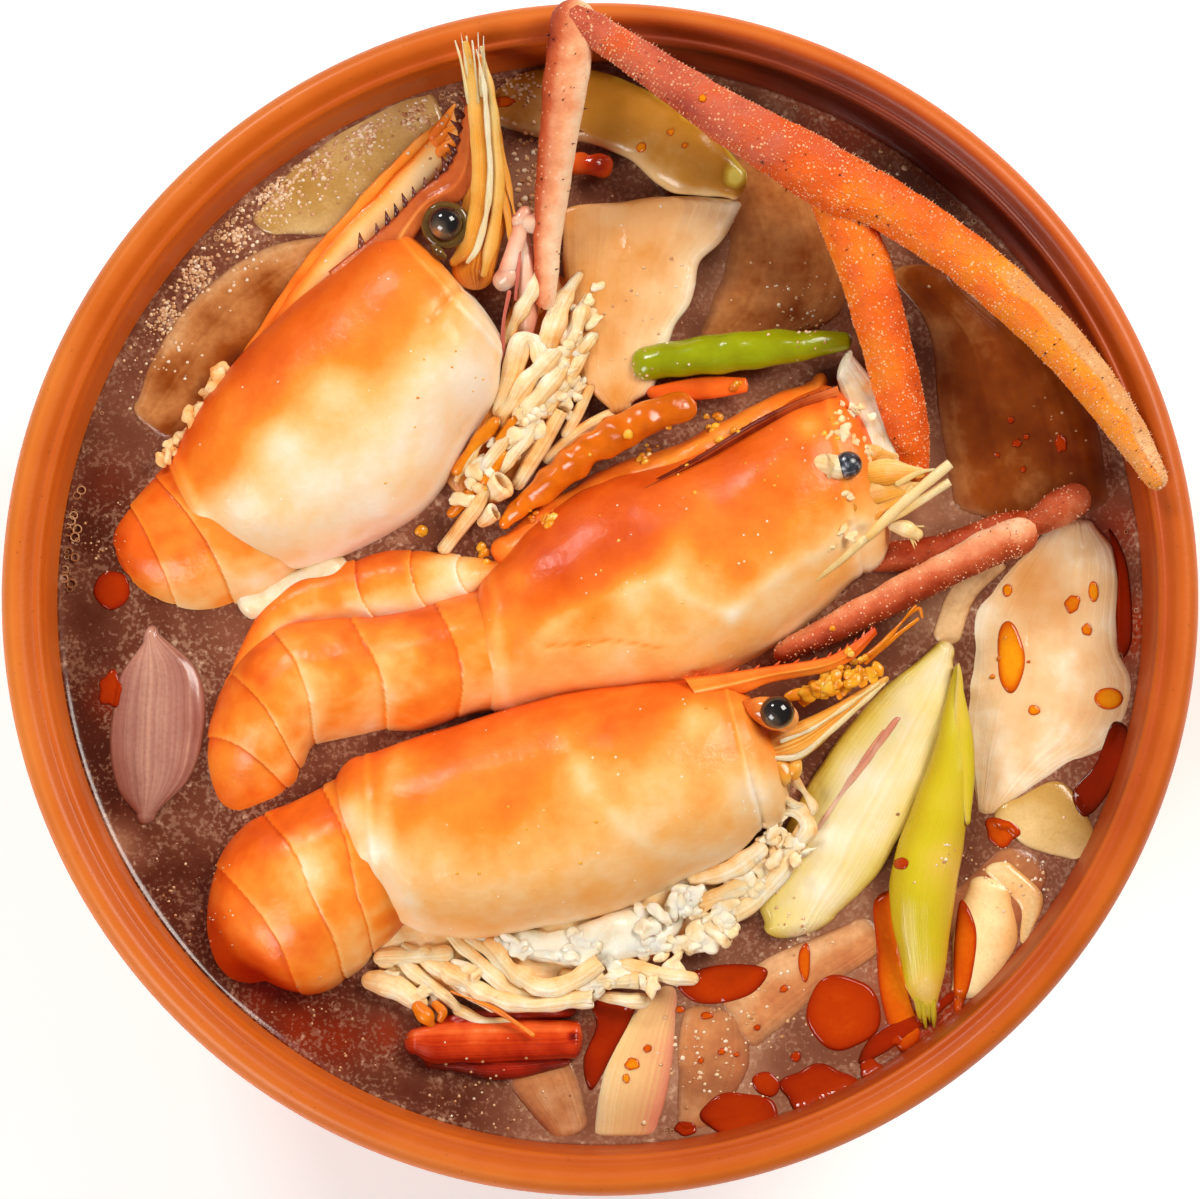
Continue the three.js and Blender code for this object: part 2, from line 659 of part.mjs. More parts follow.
const vegetables = {
  oyster_mushroom_1: [FINISH.mushroom, {
    left: [[-6.5, 68], [-6, 60], [-5.5, 54], [-5, 48], [-4, 41], [-2.5, 36], [1.5, 32]],
    right: [[23.5, 67], [19.5, 58.5], [16, 55], [14, 49], [12, 43], [9, 36.5], [5.5, 33]],
    level: [65.5, 66, 66, 65.5, 65, 65, 65],
    rise: 1.8,
    sink: 4,
    startTip: [9, 70.5, 65],
    endTip: [3.5, 31, 65],
    steps: 5,
  }],
  oyster_mushroom_2: [FINISH.mushroom, {
    left: [[75, 10.5], [68, 2], [63.5, -7], [63, -15], [63, -22], [63, -29], [63.5, -35]],
    right: [[84, 12.5], [88, 6], [88, -8], [90.5, -15], [87.5, -24], [78, -29], [69.5, -35]],
    level: 60.5,
    rise: [1.6, 2.2, 2.4, 2.4, 2.2, 2.2, 1.8],
    sink: 2.5,
    startTip: [80, 13.5, 60.5],
    endTip: [66, -37.5, 60.5],
    steps: 6,
  }],
  oyster_mushroom_3: [FINISH.mushroom, {
    left: [[56.5, -5.5], [59, 1], [63, 6.5]],
    right: [[61.5, -6.5], [64, 0], [69, 5]],
    level: 60.5,
    rise: 2,
    startTip: [58.5, -8, 60.5],
    endTip: [67, 7, 60.5],
  }],
  oyster_mushroom_4: [FINISH.mushroom, {
    left: [[48, 53], [54.5, 45], [56.5, 28], [60, 17]],
    right: [[68.5, 50], [78, 41], [84.5, 30], [86.5, 18]],
    level: 60.2,
    rise: 2.2,
    sink: 2.5,
    startTip: [57, 55, 60.2],
    endTip: [74, 14, 60.2],
  }],
  oyster_mushroom_5: [FINISH.mushroom, {
    left: [[-49, 65.5], [-64, 63], [-76, 50], [-80.5, 36]],
    right: [[-46, 61], [-55, 50], [-62, 40], [-68, 31]],
    level: 60.2,
    rise: 2.3,
    sink: 2.5,
    startTip: [-46, 64, 60.2],
    endTip: [-76, 29, 60.2],
  }],
  green_tomato_wedge_1: [FINISH.greenTomato, {
    left: [[-19.5, 86], [-12, 90.5], [-1, 90.5], [7, 87.5], [14.5, 83], [19.5, 79], [24.3, 73]],
    right: [[-19, 81.5], [-10.5, 79], [-3, 78], [5, 75], [10, 70.5], [14, 68.5], [22, 68]],
    level: [62, 63, 64, 65, 66, 67, 67.5],
    rise: [2.4, 3, 3, 3, 3, 2.6, 2],
    sink: 4,
    startTip: [-21, 83.5, 62],
    endTip: [24.5, 69.5, 67.5],
    steps: 8,
  }],
  green_tomato_wedge_2: [FINISH.greenTomato, {
    left: [[-31, 87], [-37, 84.5], [-51, 76.5], [-60, 66]],
    right: [[-28, 80], [-34, 74.5], [-44, 66], [-54, 63]],
    level: 59.8,
    rise: 2.7,
    startTip: [-28, 86, 59.8],
    endTip: [-59, 62.5, 59.8],
  }],
  green_tomato_wedge_3: [FINISH.greenTomato, {
    left: [[69, -39], [72.5, -42.3], [80, -44.5]],
    right: [[70, -34], [78, -31], [84, -39]],
    level: 60,
    rise: 2.9,
    startTip: [66.5, -37, 60],
    endTip: [84.5, -43.5, 60],
  }],
  chilli_strip: [FINISH.redChilli, {
    left: [[9, 36], [17, 38], [24.5, 37.8]],
    right: [[10, 32.8], [17.5, 33.3], [25, 35.3]],
    level: 66,
    rise: 1,
    startTip: [8, 34, 65.5],
    endTip: [26, 36.6, 66],
  }],
  lemongrass_half: [FINISH.lemongrassCut, {
    left: [[56.5, -8], [47.5, -16], [39, -26], [32, -37.5], [27, -49.5], [28, -55]],
    right: [[60, -10.5], [60, -18], [57, -27], [52.5, -36.5], [46.5, -47], [40, -53.5]],
    level: [62.5, 63, 63, 63, 62.5, 62],
    rise: 3,
    sink: 6,
    startTip: [59.5, -7.3, 62.5],
    endTip: [33, -57.3, 62],
  }],
  lemongrass_sheath: [FINISH.lemongrassSkin, {
    left: [[59.5, -13], [56.5, -24.5], [53, -34.5], [48.8, -48], [51, -63.5], [53.5, -69]],
    right: [[61, -15], [62.5, -28], [62, -38], [59.5, -51], [58, -63], [56.5, -69.5]],
    level: [66, 66, 65.5, 65, 63.5, 62.5],
    rise: [1, 3.4, 4.2, 4.6, 3, 1],
    startTip: [60.5, -11.5, 66],
    endTip: [55, -71, 62.5],
    squareness: 2.1,
  }],
  shallot_1: [FINISH.shallot, {
    left: [[-77.5, -7.5], [-82, -14], [-83.5, -24], [-82, -32], [-78.5, -36.5]],
    right: [[-75, -6], [-68, -12], [-66.8, -21], [-69, -30], [-75, -36.5]],
    level: 57,
    rise: [3, 5.6, 6.2, 6, 3],
    startTip: [-76.5, -4.5, 57],
    endTip: [-77, -38.5, 57],
    squareness: 2,
  }],
  shallot_2: [FINISH.shallot, {
    left: [[8.5, -66], [3.5, -73], [0, -81.5], [-1, -90]],
    right: [[13.5, -67], [12.8, -74.5], [11.5, -83], [9.5, -90]],
    level: 60.5,
    rise: [1.5, 2.6, 2.8, 2.2],
    startTip: [11.5, -64.5, 60.5],
    endTip: [4, -91.3, 60.5],
  }],
  garlic_clove_1: [FINISH.garlic, {
    left: [[64, -50.5], [60.5, -57], [59.5, -65]],
    right: [[69, -52], [70, -59], [65, -66]],
    level: 60.5,
    rise: 2.4,
    startTip: [67, -49.3, 60.5],
    endTip: [61.5, -67, 60.5],
  }],
  garlic_clove_2: [FINISH.garlic, {
    left: [[65, -46.5], [70.5, -52], [70.8, -58]],
    right: [[70, -45.3], [75, -50.5], [73, -57]],
    level: 60,
    rise: 2.6,
    startTip: [67, -44.5, 60],
    endTip: [72, -59.5, 60],
  }],
};

const greenChilli = [
  [8, 39.8, 66.6, 2.8], [17, 41, 66.8, 3.3], [27, 42, 67, 3.3], [35, 42.8, 66.8, 2.6],
  [41.5, 44, 66.5, 0.9],
];
const brownChilli = [
  [15.5, 33, 68.8, 2], [8.5, 30.5, 69, 2.7], [-1.5, 25, 68, 3], [-9, 19, 66.5, 2.4],
  [-16, 13, 65, 1],
];

// ---------------------------------------------------------------- assembly
// Pieces in the order in which they lie, topmost first. Each makes room for the ones before it.
const pieces = [
  ["bowl", FINISH.terracotta, bowl()],
  ["pincer_forearm", FINISH.pincer, joined(
    limb(pincer.forearm),
    limb(pincer.fixedFinger, { steps: 8 }),
  )],
  ["pincer_upper_arm", FINISH.duskyLeg, limb(pincer.upperArm)],
  ["prawn_1_eye", FINISH.eye, ball(prawn1.eye, EYE_RADIUS)],
  ["prawn_2_eye", FINISH.eye, joined(ball(prawn2.eye, 2.4), limb(prawn2.eyeStalk, { steps: 2 }))],
  ["prawn_3_eye", FINISH.eye, ball(prawn3.eye, EYE_RADIUS)],
  ["prawn_3_carapace", FINISH.shell, carapaceOf(prawn3, prawn3.rostrum),
    carapaceOf(prawn3, prawn3.rostrum, FILLED)],
  ["prawn_3_antenna_scale", FINISH.shellPale, thinPlate(prawn3.antennaScale)],
  ["front_leg_tip", FINISH.duskyLeg, limb(frontLeg.front)],
  ["prawn_2_antenna_scale", FINISH.shellPale, thinPlate(prawn2.antennaScale)],
  ["prawn_2_carapace", FINISH.shell, carapaceOf(prawn2, prawn2.crest),
    carapaceOf(prawn2, prawn2.crest, FILLED)],
  ["prawn_2_head_plate", FINISH.shellPale, thinPlate(prawn2.headPlate)],
  ["pincer_moving_finger", FINISH.pincer, limb(pincer.movingFinger)],
  ["front_leg_upper", FINISH.duskyLeg, limb(frontLeg.rear)],
  ["prawn_3_abdomen", FINISH.shell, abdomenOf(prawn3), abdomenOf(prawn3, SMOOTH)],
  ["prawn_2_abdomen", FINISH.shell, abdomenOf(prawn2), abdomenOf(prawn2, SMOOTH)],
  ["prawn_1_carapace", FINISH.shell, carapaceOf(prawn1, prawn1.rostrum),
    carapaceOf(prawn1, prawn1.rostrum, FILLED)],
  ["prawn_1_antenna_scale", FINISH.shellPale, thinPlate(prawn1.antennaScale)],
  ["prawn_1_abdomen", FINISH.shell, abdomenOf(prawn1), abdomenOf(prawn1, SMOOTH)],
  ["prawn_2_back_shell", FINISH.shell, thinPlate(prawn2.backShell)],
  ["prawn_2_curled_tail", FINISH.shell, curledTail(), curledTail(SMOOTH)],
  ["prawn_1_back_shell", FINISH.shell, thinPlate(prawn1.backShell)],
  ["prawn_3_tail_fan", FINISH.redShell, thinPlate(prawn3.tailFan)],
  ["brown_chilli", FINISH.brownChilli, limb(brownChilli)],
  ["prawn_1_legs", FINISH.legMeat, joined(legBundle(prawn1Legs), ...mouthLegs(prawn1Mouth))],
  ["prawn_3_legs", FINISH.legMeat, joined(legBundle(prawn3Legs), ...mouthLegs(prawn3Mouth))],
  ["prawn_1_swimmerets", FINISH.legMeat, thinPlate(prawn1.swimmerets)],
  ["green_chilli", FINISH.greenChilli, limb(greenChilli)],
  ["chilli_bit", FINISH.redChilli, ball([-2, 74, 65.5], 3.4, 0.8)],
  ...Object.entries(vegetables).map(([name, [material, plan]]) => [name, material, slice(plan)]),
  ["broth", FINISH.broth, broth()],
];

const soup = new THREE.Group();
const cutters = [];
for (const [name, material, geometry, room = geometry] of pieces) {
  let solid = solidOf(geometry);
  const box = solid.boundingBox();
  for (const cutter of cutters) {
    const clear = cutter.name === "bowl" && name === "broth"; // its profile keeps the gap
    if (clear || !overlapping(box, cutter.box)) continue;
    const left = solid.subtract(cutter.solid);
    if (solid.volume() - left.volume() > GRAZE) solid = left;
  }
  const taken = grown(room);
  cutters.push({ name, solid: taken, box: taken.boundingBox() });
  const mesh = new THREE.Mesh(geometryOf(largest(solid.simplify(SLIVER))), material);
  mesh.name = name;
  soup.add(mesh);
}

export default soup;
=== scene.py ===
# Tom yum soup in a glazed terracotta bowl: three whole river prawns, a pincer arm, mushrooms,
# lemongrass, chillies, shallots and green tomato in a murky broth with red chilli oil.
# Shapes are worked out in millimetres and become metres when a mesh is made.
# +Z is up, +Y points to the bowl's far side, and the bowl stands on its foot at the origin.
import json
import math

import bpy
import numpy as np
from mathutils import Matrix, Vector
from mathutils.bvhtree import BVHTree

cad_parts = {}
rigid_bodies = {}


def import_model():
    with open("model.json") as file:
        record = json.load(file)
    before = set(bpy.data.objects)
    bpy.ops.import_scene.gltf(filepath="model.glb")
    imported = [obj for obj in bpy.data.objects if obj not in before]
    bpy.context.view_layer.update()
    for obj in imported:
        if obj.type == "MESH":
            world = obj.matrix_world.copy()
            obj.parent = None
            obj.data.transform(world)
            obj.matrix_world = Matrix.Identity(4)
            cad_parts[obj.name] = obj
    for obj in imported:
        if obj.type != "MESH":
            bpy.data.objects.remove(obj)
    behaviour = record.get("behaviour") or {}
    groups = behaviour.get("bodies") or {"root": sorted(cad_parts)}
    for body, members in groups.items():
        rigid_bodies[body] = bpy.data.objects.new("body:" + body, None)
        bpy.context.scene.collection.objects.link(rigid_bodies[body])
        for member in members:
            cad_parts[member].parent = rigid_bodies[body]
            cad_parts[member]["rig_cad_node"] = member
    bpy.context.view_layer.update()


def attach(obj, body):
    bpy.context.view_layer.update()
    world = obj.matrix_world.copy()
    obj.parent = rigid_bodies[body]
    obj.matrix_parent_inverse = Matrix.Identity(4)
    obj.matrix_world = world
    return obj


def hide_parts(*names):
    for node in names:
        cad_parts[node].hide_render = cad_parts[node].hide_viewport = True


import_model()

MM = 0.001
TURN = 2 * math.pi
BOWL_SEGMENTS = 240
INNER_FLOOR = 8.9  # height of the bowl's floor under the broth
BROTH_LEVEL = 62.0
BROTH_RADIUS = 92.3
BROTH_FLOOR = 9.3
WALL_RADIUS = 92.1  # the inner wall where the broth meets it
SHADES = [0, 0.25, 0.5, 0.75, 1]  # places of a shell's tones from its back edge to its belly


# ------------------------------------------------------------------ curves and surfaces
def along(points, places):
    """Points on a smooth curve through the given ones, at places from 0 to 1."""
    points = np.asarray(points, float)
    if points.ndim == 1:
        points = points[:, None]
    ends = np.vstack([2 * points[0] - points[1], points, 2 * points[-1] - points[-2]])
    where = np.clip(np.asarray(places, float), 0, 1) * (len(points) - 1)
    start = np.minimum(where.astype(int), len(points) - 2)
    t = (where - start)[:, None]
    p0, p1, p2, p3 = (ends[start + i] for i in range(4))
    leave, arrive = (p2 - p0) / 2, (p3 - p1) / 2
    cubic = (2 * p1 - 2 * p2 + leave + arrive) * t**3
    square = (3 * p2 - 3 * p1 - 2 * leave - arrive) * t**2
    return cubic + square + leave * t + p1


def swell(points, size, seed):
    """Gentle lumps about size mm across, between -1 and 1, at each point."""
    waves = 16
    chance = np.random.default_rng(seed)
    total = np.zeros(points.shape[:-1])
    for _ in range(waves):
        way = chance.normal(size=3)
        way *= TURN / (size * 2.2 * np.linalg.norm(way) * chance.uniform(0.6, 1.5))
        total += np.sin(points @ way + chance.uniform(0, TURN))
    return total / math.sqrt(waves)


def step(low, high, value):
    """Rises smoothly from 0 at low to 1 at high."""
    t = np.clip((value - low) / (high - low), 0, 1)
    return t * t * (3 - 2 * t)


def outward(grid):
    """Unit normals of a closed grid of points whose columns go round it."""
    lengthwise = np.gradient(grid, axis=0)
    ring = grid[:, :-1]
    crosswise = (np.roll(ring, -1, axis=1) - np.roll(ring, 1, axis=1)) / 2
    crosswise = np.concatenate([crosswise, crosswise[:, :1]], axis=1)
    normal = np.cross(crosswise, lengthwise)
    normal /= np.maximum(np.linalg.norm(normal, axis=2, keepdims=True), 1e-9)
    middle = grid.mean(axis=1, keepdims=True)
    sign = np.sign(((grid - middle) * normal).sum())
    return normal * sign


def body(left, right, level, rise, start, end, sink=None):
    """The plan of a body that lies flat: points along its left and right edges, heights along it
    that may each be one value or a list, and the points where it starts and ends."""
    heights = level, rise, rise if sink is None else sink
    return {"left": left, "right": right, "heights": heights, "start": start, "end": end}


def lying(plan, rows, over, square=2.2):
    """The surface of a planned body, which rises over its level and sinks under it. Gives its grid
    of points, how far along each is, and how far across: 1 at the right edge, 0 at the left."""
    under, cap = 12, 9
    count = len(plan["left"])
    places = np.linspace(0, 1, rows)
    heights = []
    for value in plan["heights"]:
        listed = value if isinstance(value, list) else [value] * count
        heights.append(along(listed, places)[:, 0])
    level, rise, sink = heights
    left, right = along(plan["left"], places), along(plan["right"], places)
    angle = np.concatenate(
        [np.linspace(0, math.pi, over, endpoint=False), np.linspace(math.pi, TURN, under + 1)]
    )
    power = lambda v: np.sign(v) * np.abs(v) ** (2 / square)
    cosine, sine = power(np.cos(angle)), power(np.sin(angle))
    centre, half = (left + right) / 2, (right - left) / 2
    grid = np.zeros((rows, len(angle), 3))
    grid[..., :2] = centre[:, None] + half[:, None] * cosine[None, :, None]
    lift = np.where(sine > 0, rise[:, None], sink[:, None])
    grid[..., 2] = level[:, None] + lift * sine[None, :]
    middle = np.column_stack([centre, level])
    turns = np.linspace(0, math.pi / 2, cap + 1)[1:]
    ends = []
    for row, tip in ((0, plan["start"]), (-1, plan["end"])):
        ring = grid[row] - middle[row]
        hub = middle[row] + (np.array(tip, float) - middle[row]) * np.sin(turns)[:, None]
        ends.append(ring[None] * np.cos(turns)[:, None, None] + hub[:, None])
    grid = np.concatenate([ends[0][::-1], grid, ends[1]])
    share = np.concatenate([np.zeros(cap), places, np.ones(cap)])
    across = np.broadcast_to((1 + np.cos(angle)) / 2, grid.shape[:2])
    return grid, np.broadcast_to(share[:, None], grid.shape[:2]), across


def tube(path, rows=40, sides=14, hollow=False, flat=1.0):
    """A limb along a curve of [x, y, z, radius]. hollow sinks its far end in, as on a cut tube."""
    cap = 5
    places = np.linspace(0, 1, rows)
    track = along(path, places)
    centre, radius = track[:, :3], np.maximum(track[:, 3], 0.05)
    tangent = np.gradient(centre, axis=0)
    tangent /= np.linalg.norm(tangent, axis=1, keepdims=True)
    side = np.cross(tangent, [0, 0, 1.0])
    side /= np.maximum(np.linalg.norm(side, axis=1, keepdims=True), 1e-6)
    up = np.cross(side, tangent)
    angle = np.linspace(0, TURN, sides + 1)
    ring = (
        side[:, None] * np.cos(angle)[None, :, None]
        + up[:, None] * np.sin(angle)[None, :, None] * flat
    )
    grid = centre[:, None] + ring * radius[:, None, None]
    round_end = [(math.cos(a), math.sin(a)) for a in np.linspace(0, math.pi / 2, cap + 1)[1:]]
    cut_end = [(0.82, 0.05), (0.74, -0.3), (0.66, -1.2), (0.5, -2.4), (0.0, -2.6)]
    caps = []
    for row, way, end in ((0, -1, round_end), (-1, 1, cut_end if hollow else round_end)):
        shell = grid[row] - centre[row]
        reach = tangent[row] * way * radius[row]
        caps.append(np.array([centre[row] + shell * wide + reach * far for wide, far in end]))
    grid = np.concatenate([caps[0][::-1], grid, caps[1]])
    share = np.concatenate([np.zeros(cap), places, np.ones(cap)])
    across = np.broadcast_to((1 + np.cos(angle)) / 2, grid.shape[:2])
    return grid, np.broadcast_to(share[:, None], grid.shape[:2]), across


def painted(grid, tone, spots):
    """Blends soft round spots of [x, y, radius, tone] into a piece's tone, seen from above."""
    tone = np.array(tone, float)
    for x, y, radius, value in spots:
        far = (grid[..., 0] - x) ** 2 + (grid[..., 1] - y) ** 2
        weight = np.exp(-far / (2 * (radius / 1.6) ** 2))
        tone += (value - tone) * weight
    return tone


# ------------------------------------------------------------------ meshes
def deselect():
    """Leaves no object selected."""
    bpy.ops.object.select_all(action="DESELECT")


def mark(mesh, values, layer="tone"):
    """Paints one value at each vertex."""
    mesh.attributes.new(layer, "FLOAT", "POINT").data.foreach_set(
        "value", np.asarray(values, np.float32)
    )


def skin(name, grid, marks):
    """A grid primitive bent into the closed surface of the given points, with soft painted marks."""
    deselect()
    rows, columns = grid.shape[:2]
    bpy.ops.mesh.primitive_grid_add(x_subdivisions=columns - 1, y_subdivisions=rows - 1, size=1)
    piece = bpy.context.object
    piece.name = name
    mesh = piece.data
    flat = np.zeros(len(mesh.vertices) * 3, np.float32)
    mesh.vertices.foreach_get("co", flat)
    spread = flat.reshape(-1, 3) + 0.5
    column = np.rint(spread[:, 0] * (columns - 1)).astype(int)
    row = np.rint(spread[:, 1] * (rows - 1)).astype(int)
    mesh.vertices.foreach_set("co", (grid[row, column] * MM).astype(np.float32).ravel())
    for layer, values in marks.items():
        mark(mesh, values[row, column], layer)
    bpy.ops.object.mode_set(mode="EDIT")
    bpy.ops.mesh.select_all(action="SELECT")
    bpy.ops.mesh.remove_doubles(threshold=0.002 * MM)
    bpy.ops.mesh.normals_make_consistent(inside=False)
    bpy.ops.object.mode_set(mode="OBJECT")
    bpy.ops.object.shade_smooth()
    return piece


def join(name, parts):
    """Several objects made into one piece."""
    deselect()
    for part in parts:
        part.select_set(True)
    bpy.context.view_layer.objects.active = parts[0]
    if len(parts) > 1:
        bpy.ops.object.join()
    parts[0].name = name
    return parts[0]


def model_of(piece):
    """The vertices, in millimetres, and faces of a small model, which is then removed."""
    mesh = piece.data
    points = np.array([v.co for v in mesh.vertices]) / MM
    faces = [list(p.vertices) for p in mesh.polygons]
    bpy.data.objects.remove(piece)
    return points, faces


def ball(subdivisions):
    """The model of a ball of radius 1 made of triangles."""
    deselect()
    bpy.ops.mesh.primitive_ico_sphere_add(subdivisions=subdivisions, radius=MM)
    return model_of(bpy.context.object)


def meshed(name, vertices, faces, tones):
    """A smooth piece of the given vertices, in millimetres, and faces."""
    mesh = bpy.data.meshes.new(name)
    mesh.from_pydata((vertices * MM).tolist(), [], faces)
    mark(mesh, tones)
    mesh.shade_smooth()
    piece = bpy.data.objects.new(name, mesh)
    bpy.context.scene.collection.objects.link(piece)
    return piece


def copies(name, model, places, sizes, tones, turns=None):
    """One mesh of many copies of a small model, each with its place, size, turn and tone."""
    points, faces = model
    places, sizes = np.asarray(places, float), np.asarray(sizes, float)
    if sizes.ndim == 1:
        sizes = np.repeat(sizes[:, None], 3, axis=1)
    local = points[None] * sizes[:, None]
    if turns is not None:
        local = np.einsum("nij,nvj->nvi", np.asarray(turns), local)
    vertices = (local + places[:, None]).reshape(-1, 3)
    count = len(points)
    corners = [[c + i * count for c in face] for i in range(len(places)) for face in faces]
    return meshed(name, vertices, corners, np.repeat(tones, count))


def search_tree(left_out=""):
    """The visible pieces made so far, without the one left out, for rays and nearest points."""
    corners, faces = [], []
    for piece in bpy.context.scene.objects:
        if piece.type == "MESH" and "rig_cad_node" not in piece and piece.name != left_out:
            count = len(corners)
            corners += [v.co / MM for v in piece.data.vertices]
            faces += [[v + count for v in p.vertices] for p in piece.data.polygons]
    return BVHTree.FromPolygons(corners, faces)


def settle(piece, material, slot, *nodes):
    """Gives a piece its finish and its place on the body, in place of the named solids."""
    piece.data.materials.clear()
    piece.data.materials.append(material)
    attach(piece, "root")
    if nodes:
        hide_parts(*nodes)
    return piece


# ------------------------------------------------------------------ materials
def linear(code):
    """An sRGB hex value as a linear colour."""
    channels = [int(code[i : i + 2], 16) / 255 for i in (1, 3, 5)]
    return [c / 12.92 if c <= 0.04045 else ((c + 0.055) / 1.055) ** 2.4 for c in channels] + [1.0]


def node(tree, kind, inputs=None, out=0, stops=None, **settings):
    """Adds a node with its settings, sets or links its inputs, and gives the output named by out."""
    made = tree.nodes.new("ShaderNode" + kind)
    for name, value in settings.items():
        setattr(made, name, value)
    for name, value in (inputs or {}).items():
        if isinstance(value, bpy.types.NodeSocket):
            tree.links.new(value, made.inputs[name])
        else:
            made.inputs[name].default_value = value
    for i, (place, code) in enumerate((stops or {}).items()):
        ramp = made.color_ramp.elements
        stop = ramp[i] if i < 2 else ramp.new(place)
        stop.position, stop.color = place, linear(code)
    return made.outputs[out] if made.outputs else None


def empty_material(name):
    """A new material with its node tree, an object's own coordinates and its painted tone."""
    material = bpy.data.materials.new(name)
    material.use_nodes = True
    tree = material.node_tree
    tree.nodes.clear()
    place = node(tree, "TexCoord", out="Object")
    return material, tree, place, node(tree, "Attribute", out="Fac", attribute_name="tone")


FACTOR, FIRST, SECOND, BLENDED = 0, 6, 7, 2  # colour sockets of a Mix node


def cooked(name, stops, wander=0.1, patch=4, grain=0.4, relief=0.01, roughness=0.2, coat=0.5,
        depth=0.12, streaks=0, streak=0.1, fleck=None, murky=False):
    """A wet boiled surface. tone runs along the colour stops, wander moves it in patches of
    patch mm, grain and relief are the size and height in mm of its fine bumps, depth is how much
    light soaks in, streaks are fine lines along the piece, fleck is a colour, a size and a share,
    and murky lets the broth hide the piece where its clear mark is low."""
    material, tree, place, tone = empty_material(name)
    cloud = node(tree, "TexNoise", {"Vector": place, "Scale": 1 / (patch * MM), "Detail": 5.0})
    shift = node(tree, "Math", {0: cloud, 1: 4 * wander, 2: -2 * wander}, operation="MULTIPLY_ADD")
    tone = node(tree, "Math", {0: tone, 1: shift}, operation="ADD")
    fine = node(tree, "TexNoise", {"Vector": place, "Scale": 1 / (grain * MM), "Detail": 6.0,
        "Roughness": 0.6})
    mottle = node(tree, "Math", {0: fine, 1: 0.14, 2: -0.07}, operation="MULTIPLY_ADD")
    tone = node(tree, "Math", {0: tone, 1: mottle}, operation="ADD")
    height = fine
    if streaks:
        across = node(tree, "Attribute", out="Fac", attribute_name="across")
        bent = node(tree, "Math", {0: cloud, 1: 0.06, 2: across}, operation="MULTIPLY_ADD")
        lines = node(tree, "TexNoise", {"W": bent, "Scale": float(streaks), "Detail": 2.0},
            noise_dimensions="1D")
        tone = node(tree, "Math", {0: lines, 1: 4 * streak, 2: tone}, operation="MULTIPLY_ADD")
        tone = node(tree, "Math", {0: tone, 1: 2 * streak}, operation="SUBTRACT")
        height = node(tree, "Math", {0: lines, 1: 2.0, 2: fine}, operation="MULTIPLY_ADD")
    colour = node(tree, "ValToRGB", {"Fac": tone}, stops=stops)
    if fleck:
        code, size, share = fleck
        cells = node(tree, "TexVoronoi", {"Vector": place, "Scale": 1 / (size * MM)})
        edge = node(tree, "MapRange", {"Value": cells, "From Min": share * 0.5, "From Max": share,
            "To Min": 0.85, "To Max": 0.0})
        chosen = node(tree, "Math", {0: cloud, 1: 0.52}, operation="GREATER_THAN")
        edge = node(tree, "Math", {0: edge, 1: chosen}, operation="MULTIPLY")
        colour = node(tree, "Mix", {FACTOR: edge, FIRST: colour, SECOND: linear(code)}, out=BLENDED,
            data_type="RGBA")
    if murky:
        clear = node(tree, "Attribute", out="Fac", attribute_name="clear")
        specks = node(tree, "Math", {0: fine, 1: 0.5, 2: clear}, operation="MULTIPLY_ADD")
        specks = node(tree, "Math", {0: specks, 1: 0.25}, operation="SUBTRACT", use_clamp=True)
        colour = node(tree, "Mix", {FACTOR: specks, FIRST: linear("#845036"), SECOND: colour},
            out=BLENDED, data_type="RGBA")
    bump = node(tree, "Bump", {"Height": height, "Strength": 0.8, "Distance": relief * MM})
    sheen = node(tree, "MapRange", {"Value": cloud, "From Min": 0.3, "From Max": 0.7,
        "To Min": roughness * 0.7, "To Max": roughness * 1.35})
    shader = node(tree, "BsdfPrincipled", {"Base Color": colour, "Roughness": sheen, "IOR": 1.4,
        "Normal": bump, "Subsurface Weight": depth, "Subsurface Radius": (1.0, 0.45, 0.2),
        "Subsurface Scale": 2.0 * MM, "Specular IOR Level": 0.28, "Coat Weight": coat,
        "Coat Roughness": 0.07, "Coat Normal": bump})
    node(tree, "OutputMaterial", {"Surface": shader})
    return material


# Boiled prawn shell: heat frees its orange pigment, so it runs from red orange on the back to
# cream on the belly, thin and wet with a sharp shine.
SHELL_STOPS = {0: "#9e2606", 0.18: "#d44a0c", 0.38: "#ee6a18", 0.56: "#fa902c", 0.72: "#fcb866",
               0.86: "#fdd49c", 1: "#fdecd2"}
boiled_shell = cooked("boiled_prawn_shell", SHELL_STOPS, wander=0.03, patch=9, grain=2, relief=0.18,
    roughness=0.42, coat=0.2, fleck=("#fff0d8", 2.4, 0.1))
ringed_shell = cooked("boiled_ringed_shell", SHELL_STOPS, wander=0.07, patch=5, grain=1.9,
    relief=0.18, roughness=0.4, coat=0.26)
# The long head blades: the same shell, but as thin as a leaf, so light shows through in lines.
thin_blade = cooked("thin_blade_shell", {0: "#b5481c", 0.3: "#e08326", 0.55: "#f3a63c",
    0.8: "#f9cf80", 1: "#fdf0cf"}, wander=0.06, patch=5, relief=0.04, roughness=0.25, coat=0.6,
    depth=0.25, streaks=26, streak=0.16)
rosy_crest = cooked("rosy_crest_shell", {0: "#6e1c0a", 0.25: "#b0481a", 0.5: "#d97032",
    0.75: "#f0a050", 1: "#f9cf90"}, wander=0.08, grain=1.6, relief=0.14, roughness=0.3)
crest_tooth = cooked("dark_crest_tooth", {0: "#34120e", 0.4: "#62281c", 0.75: "#9c5236",
    1: "#3f7a28"}, wander=0.03, roughness=0.3, depth=0)
red_tooth = cooked("red_crest_tooth", {0: "#a8280e", 0.5: "#e0561e", 1: "#f9a878"}, patch=2,
    coat=0.7, depth=0.1)
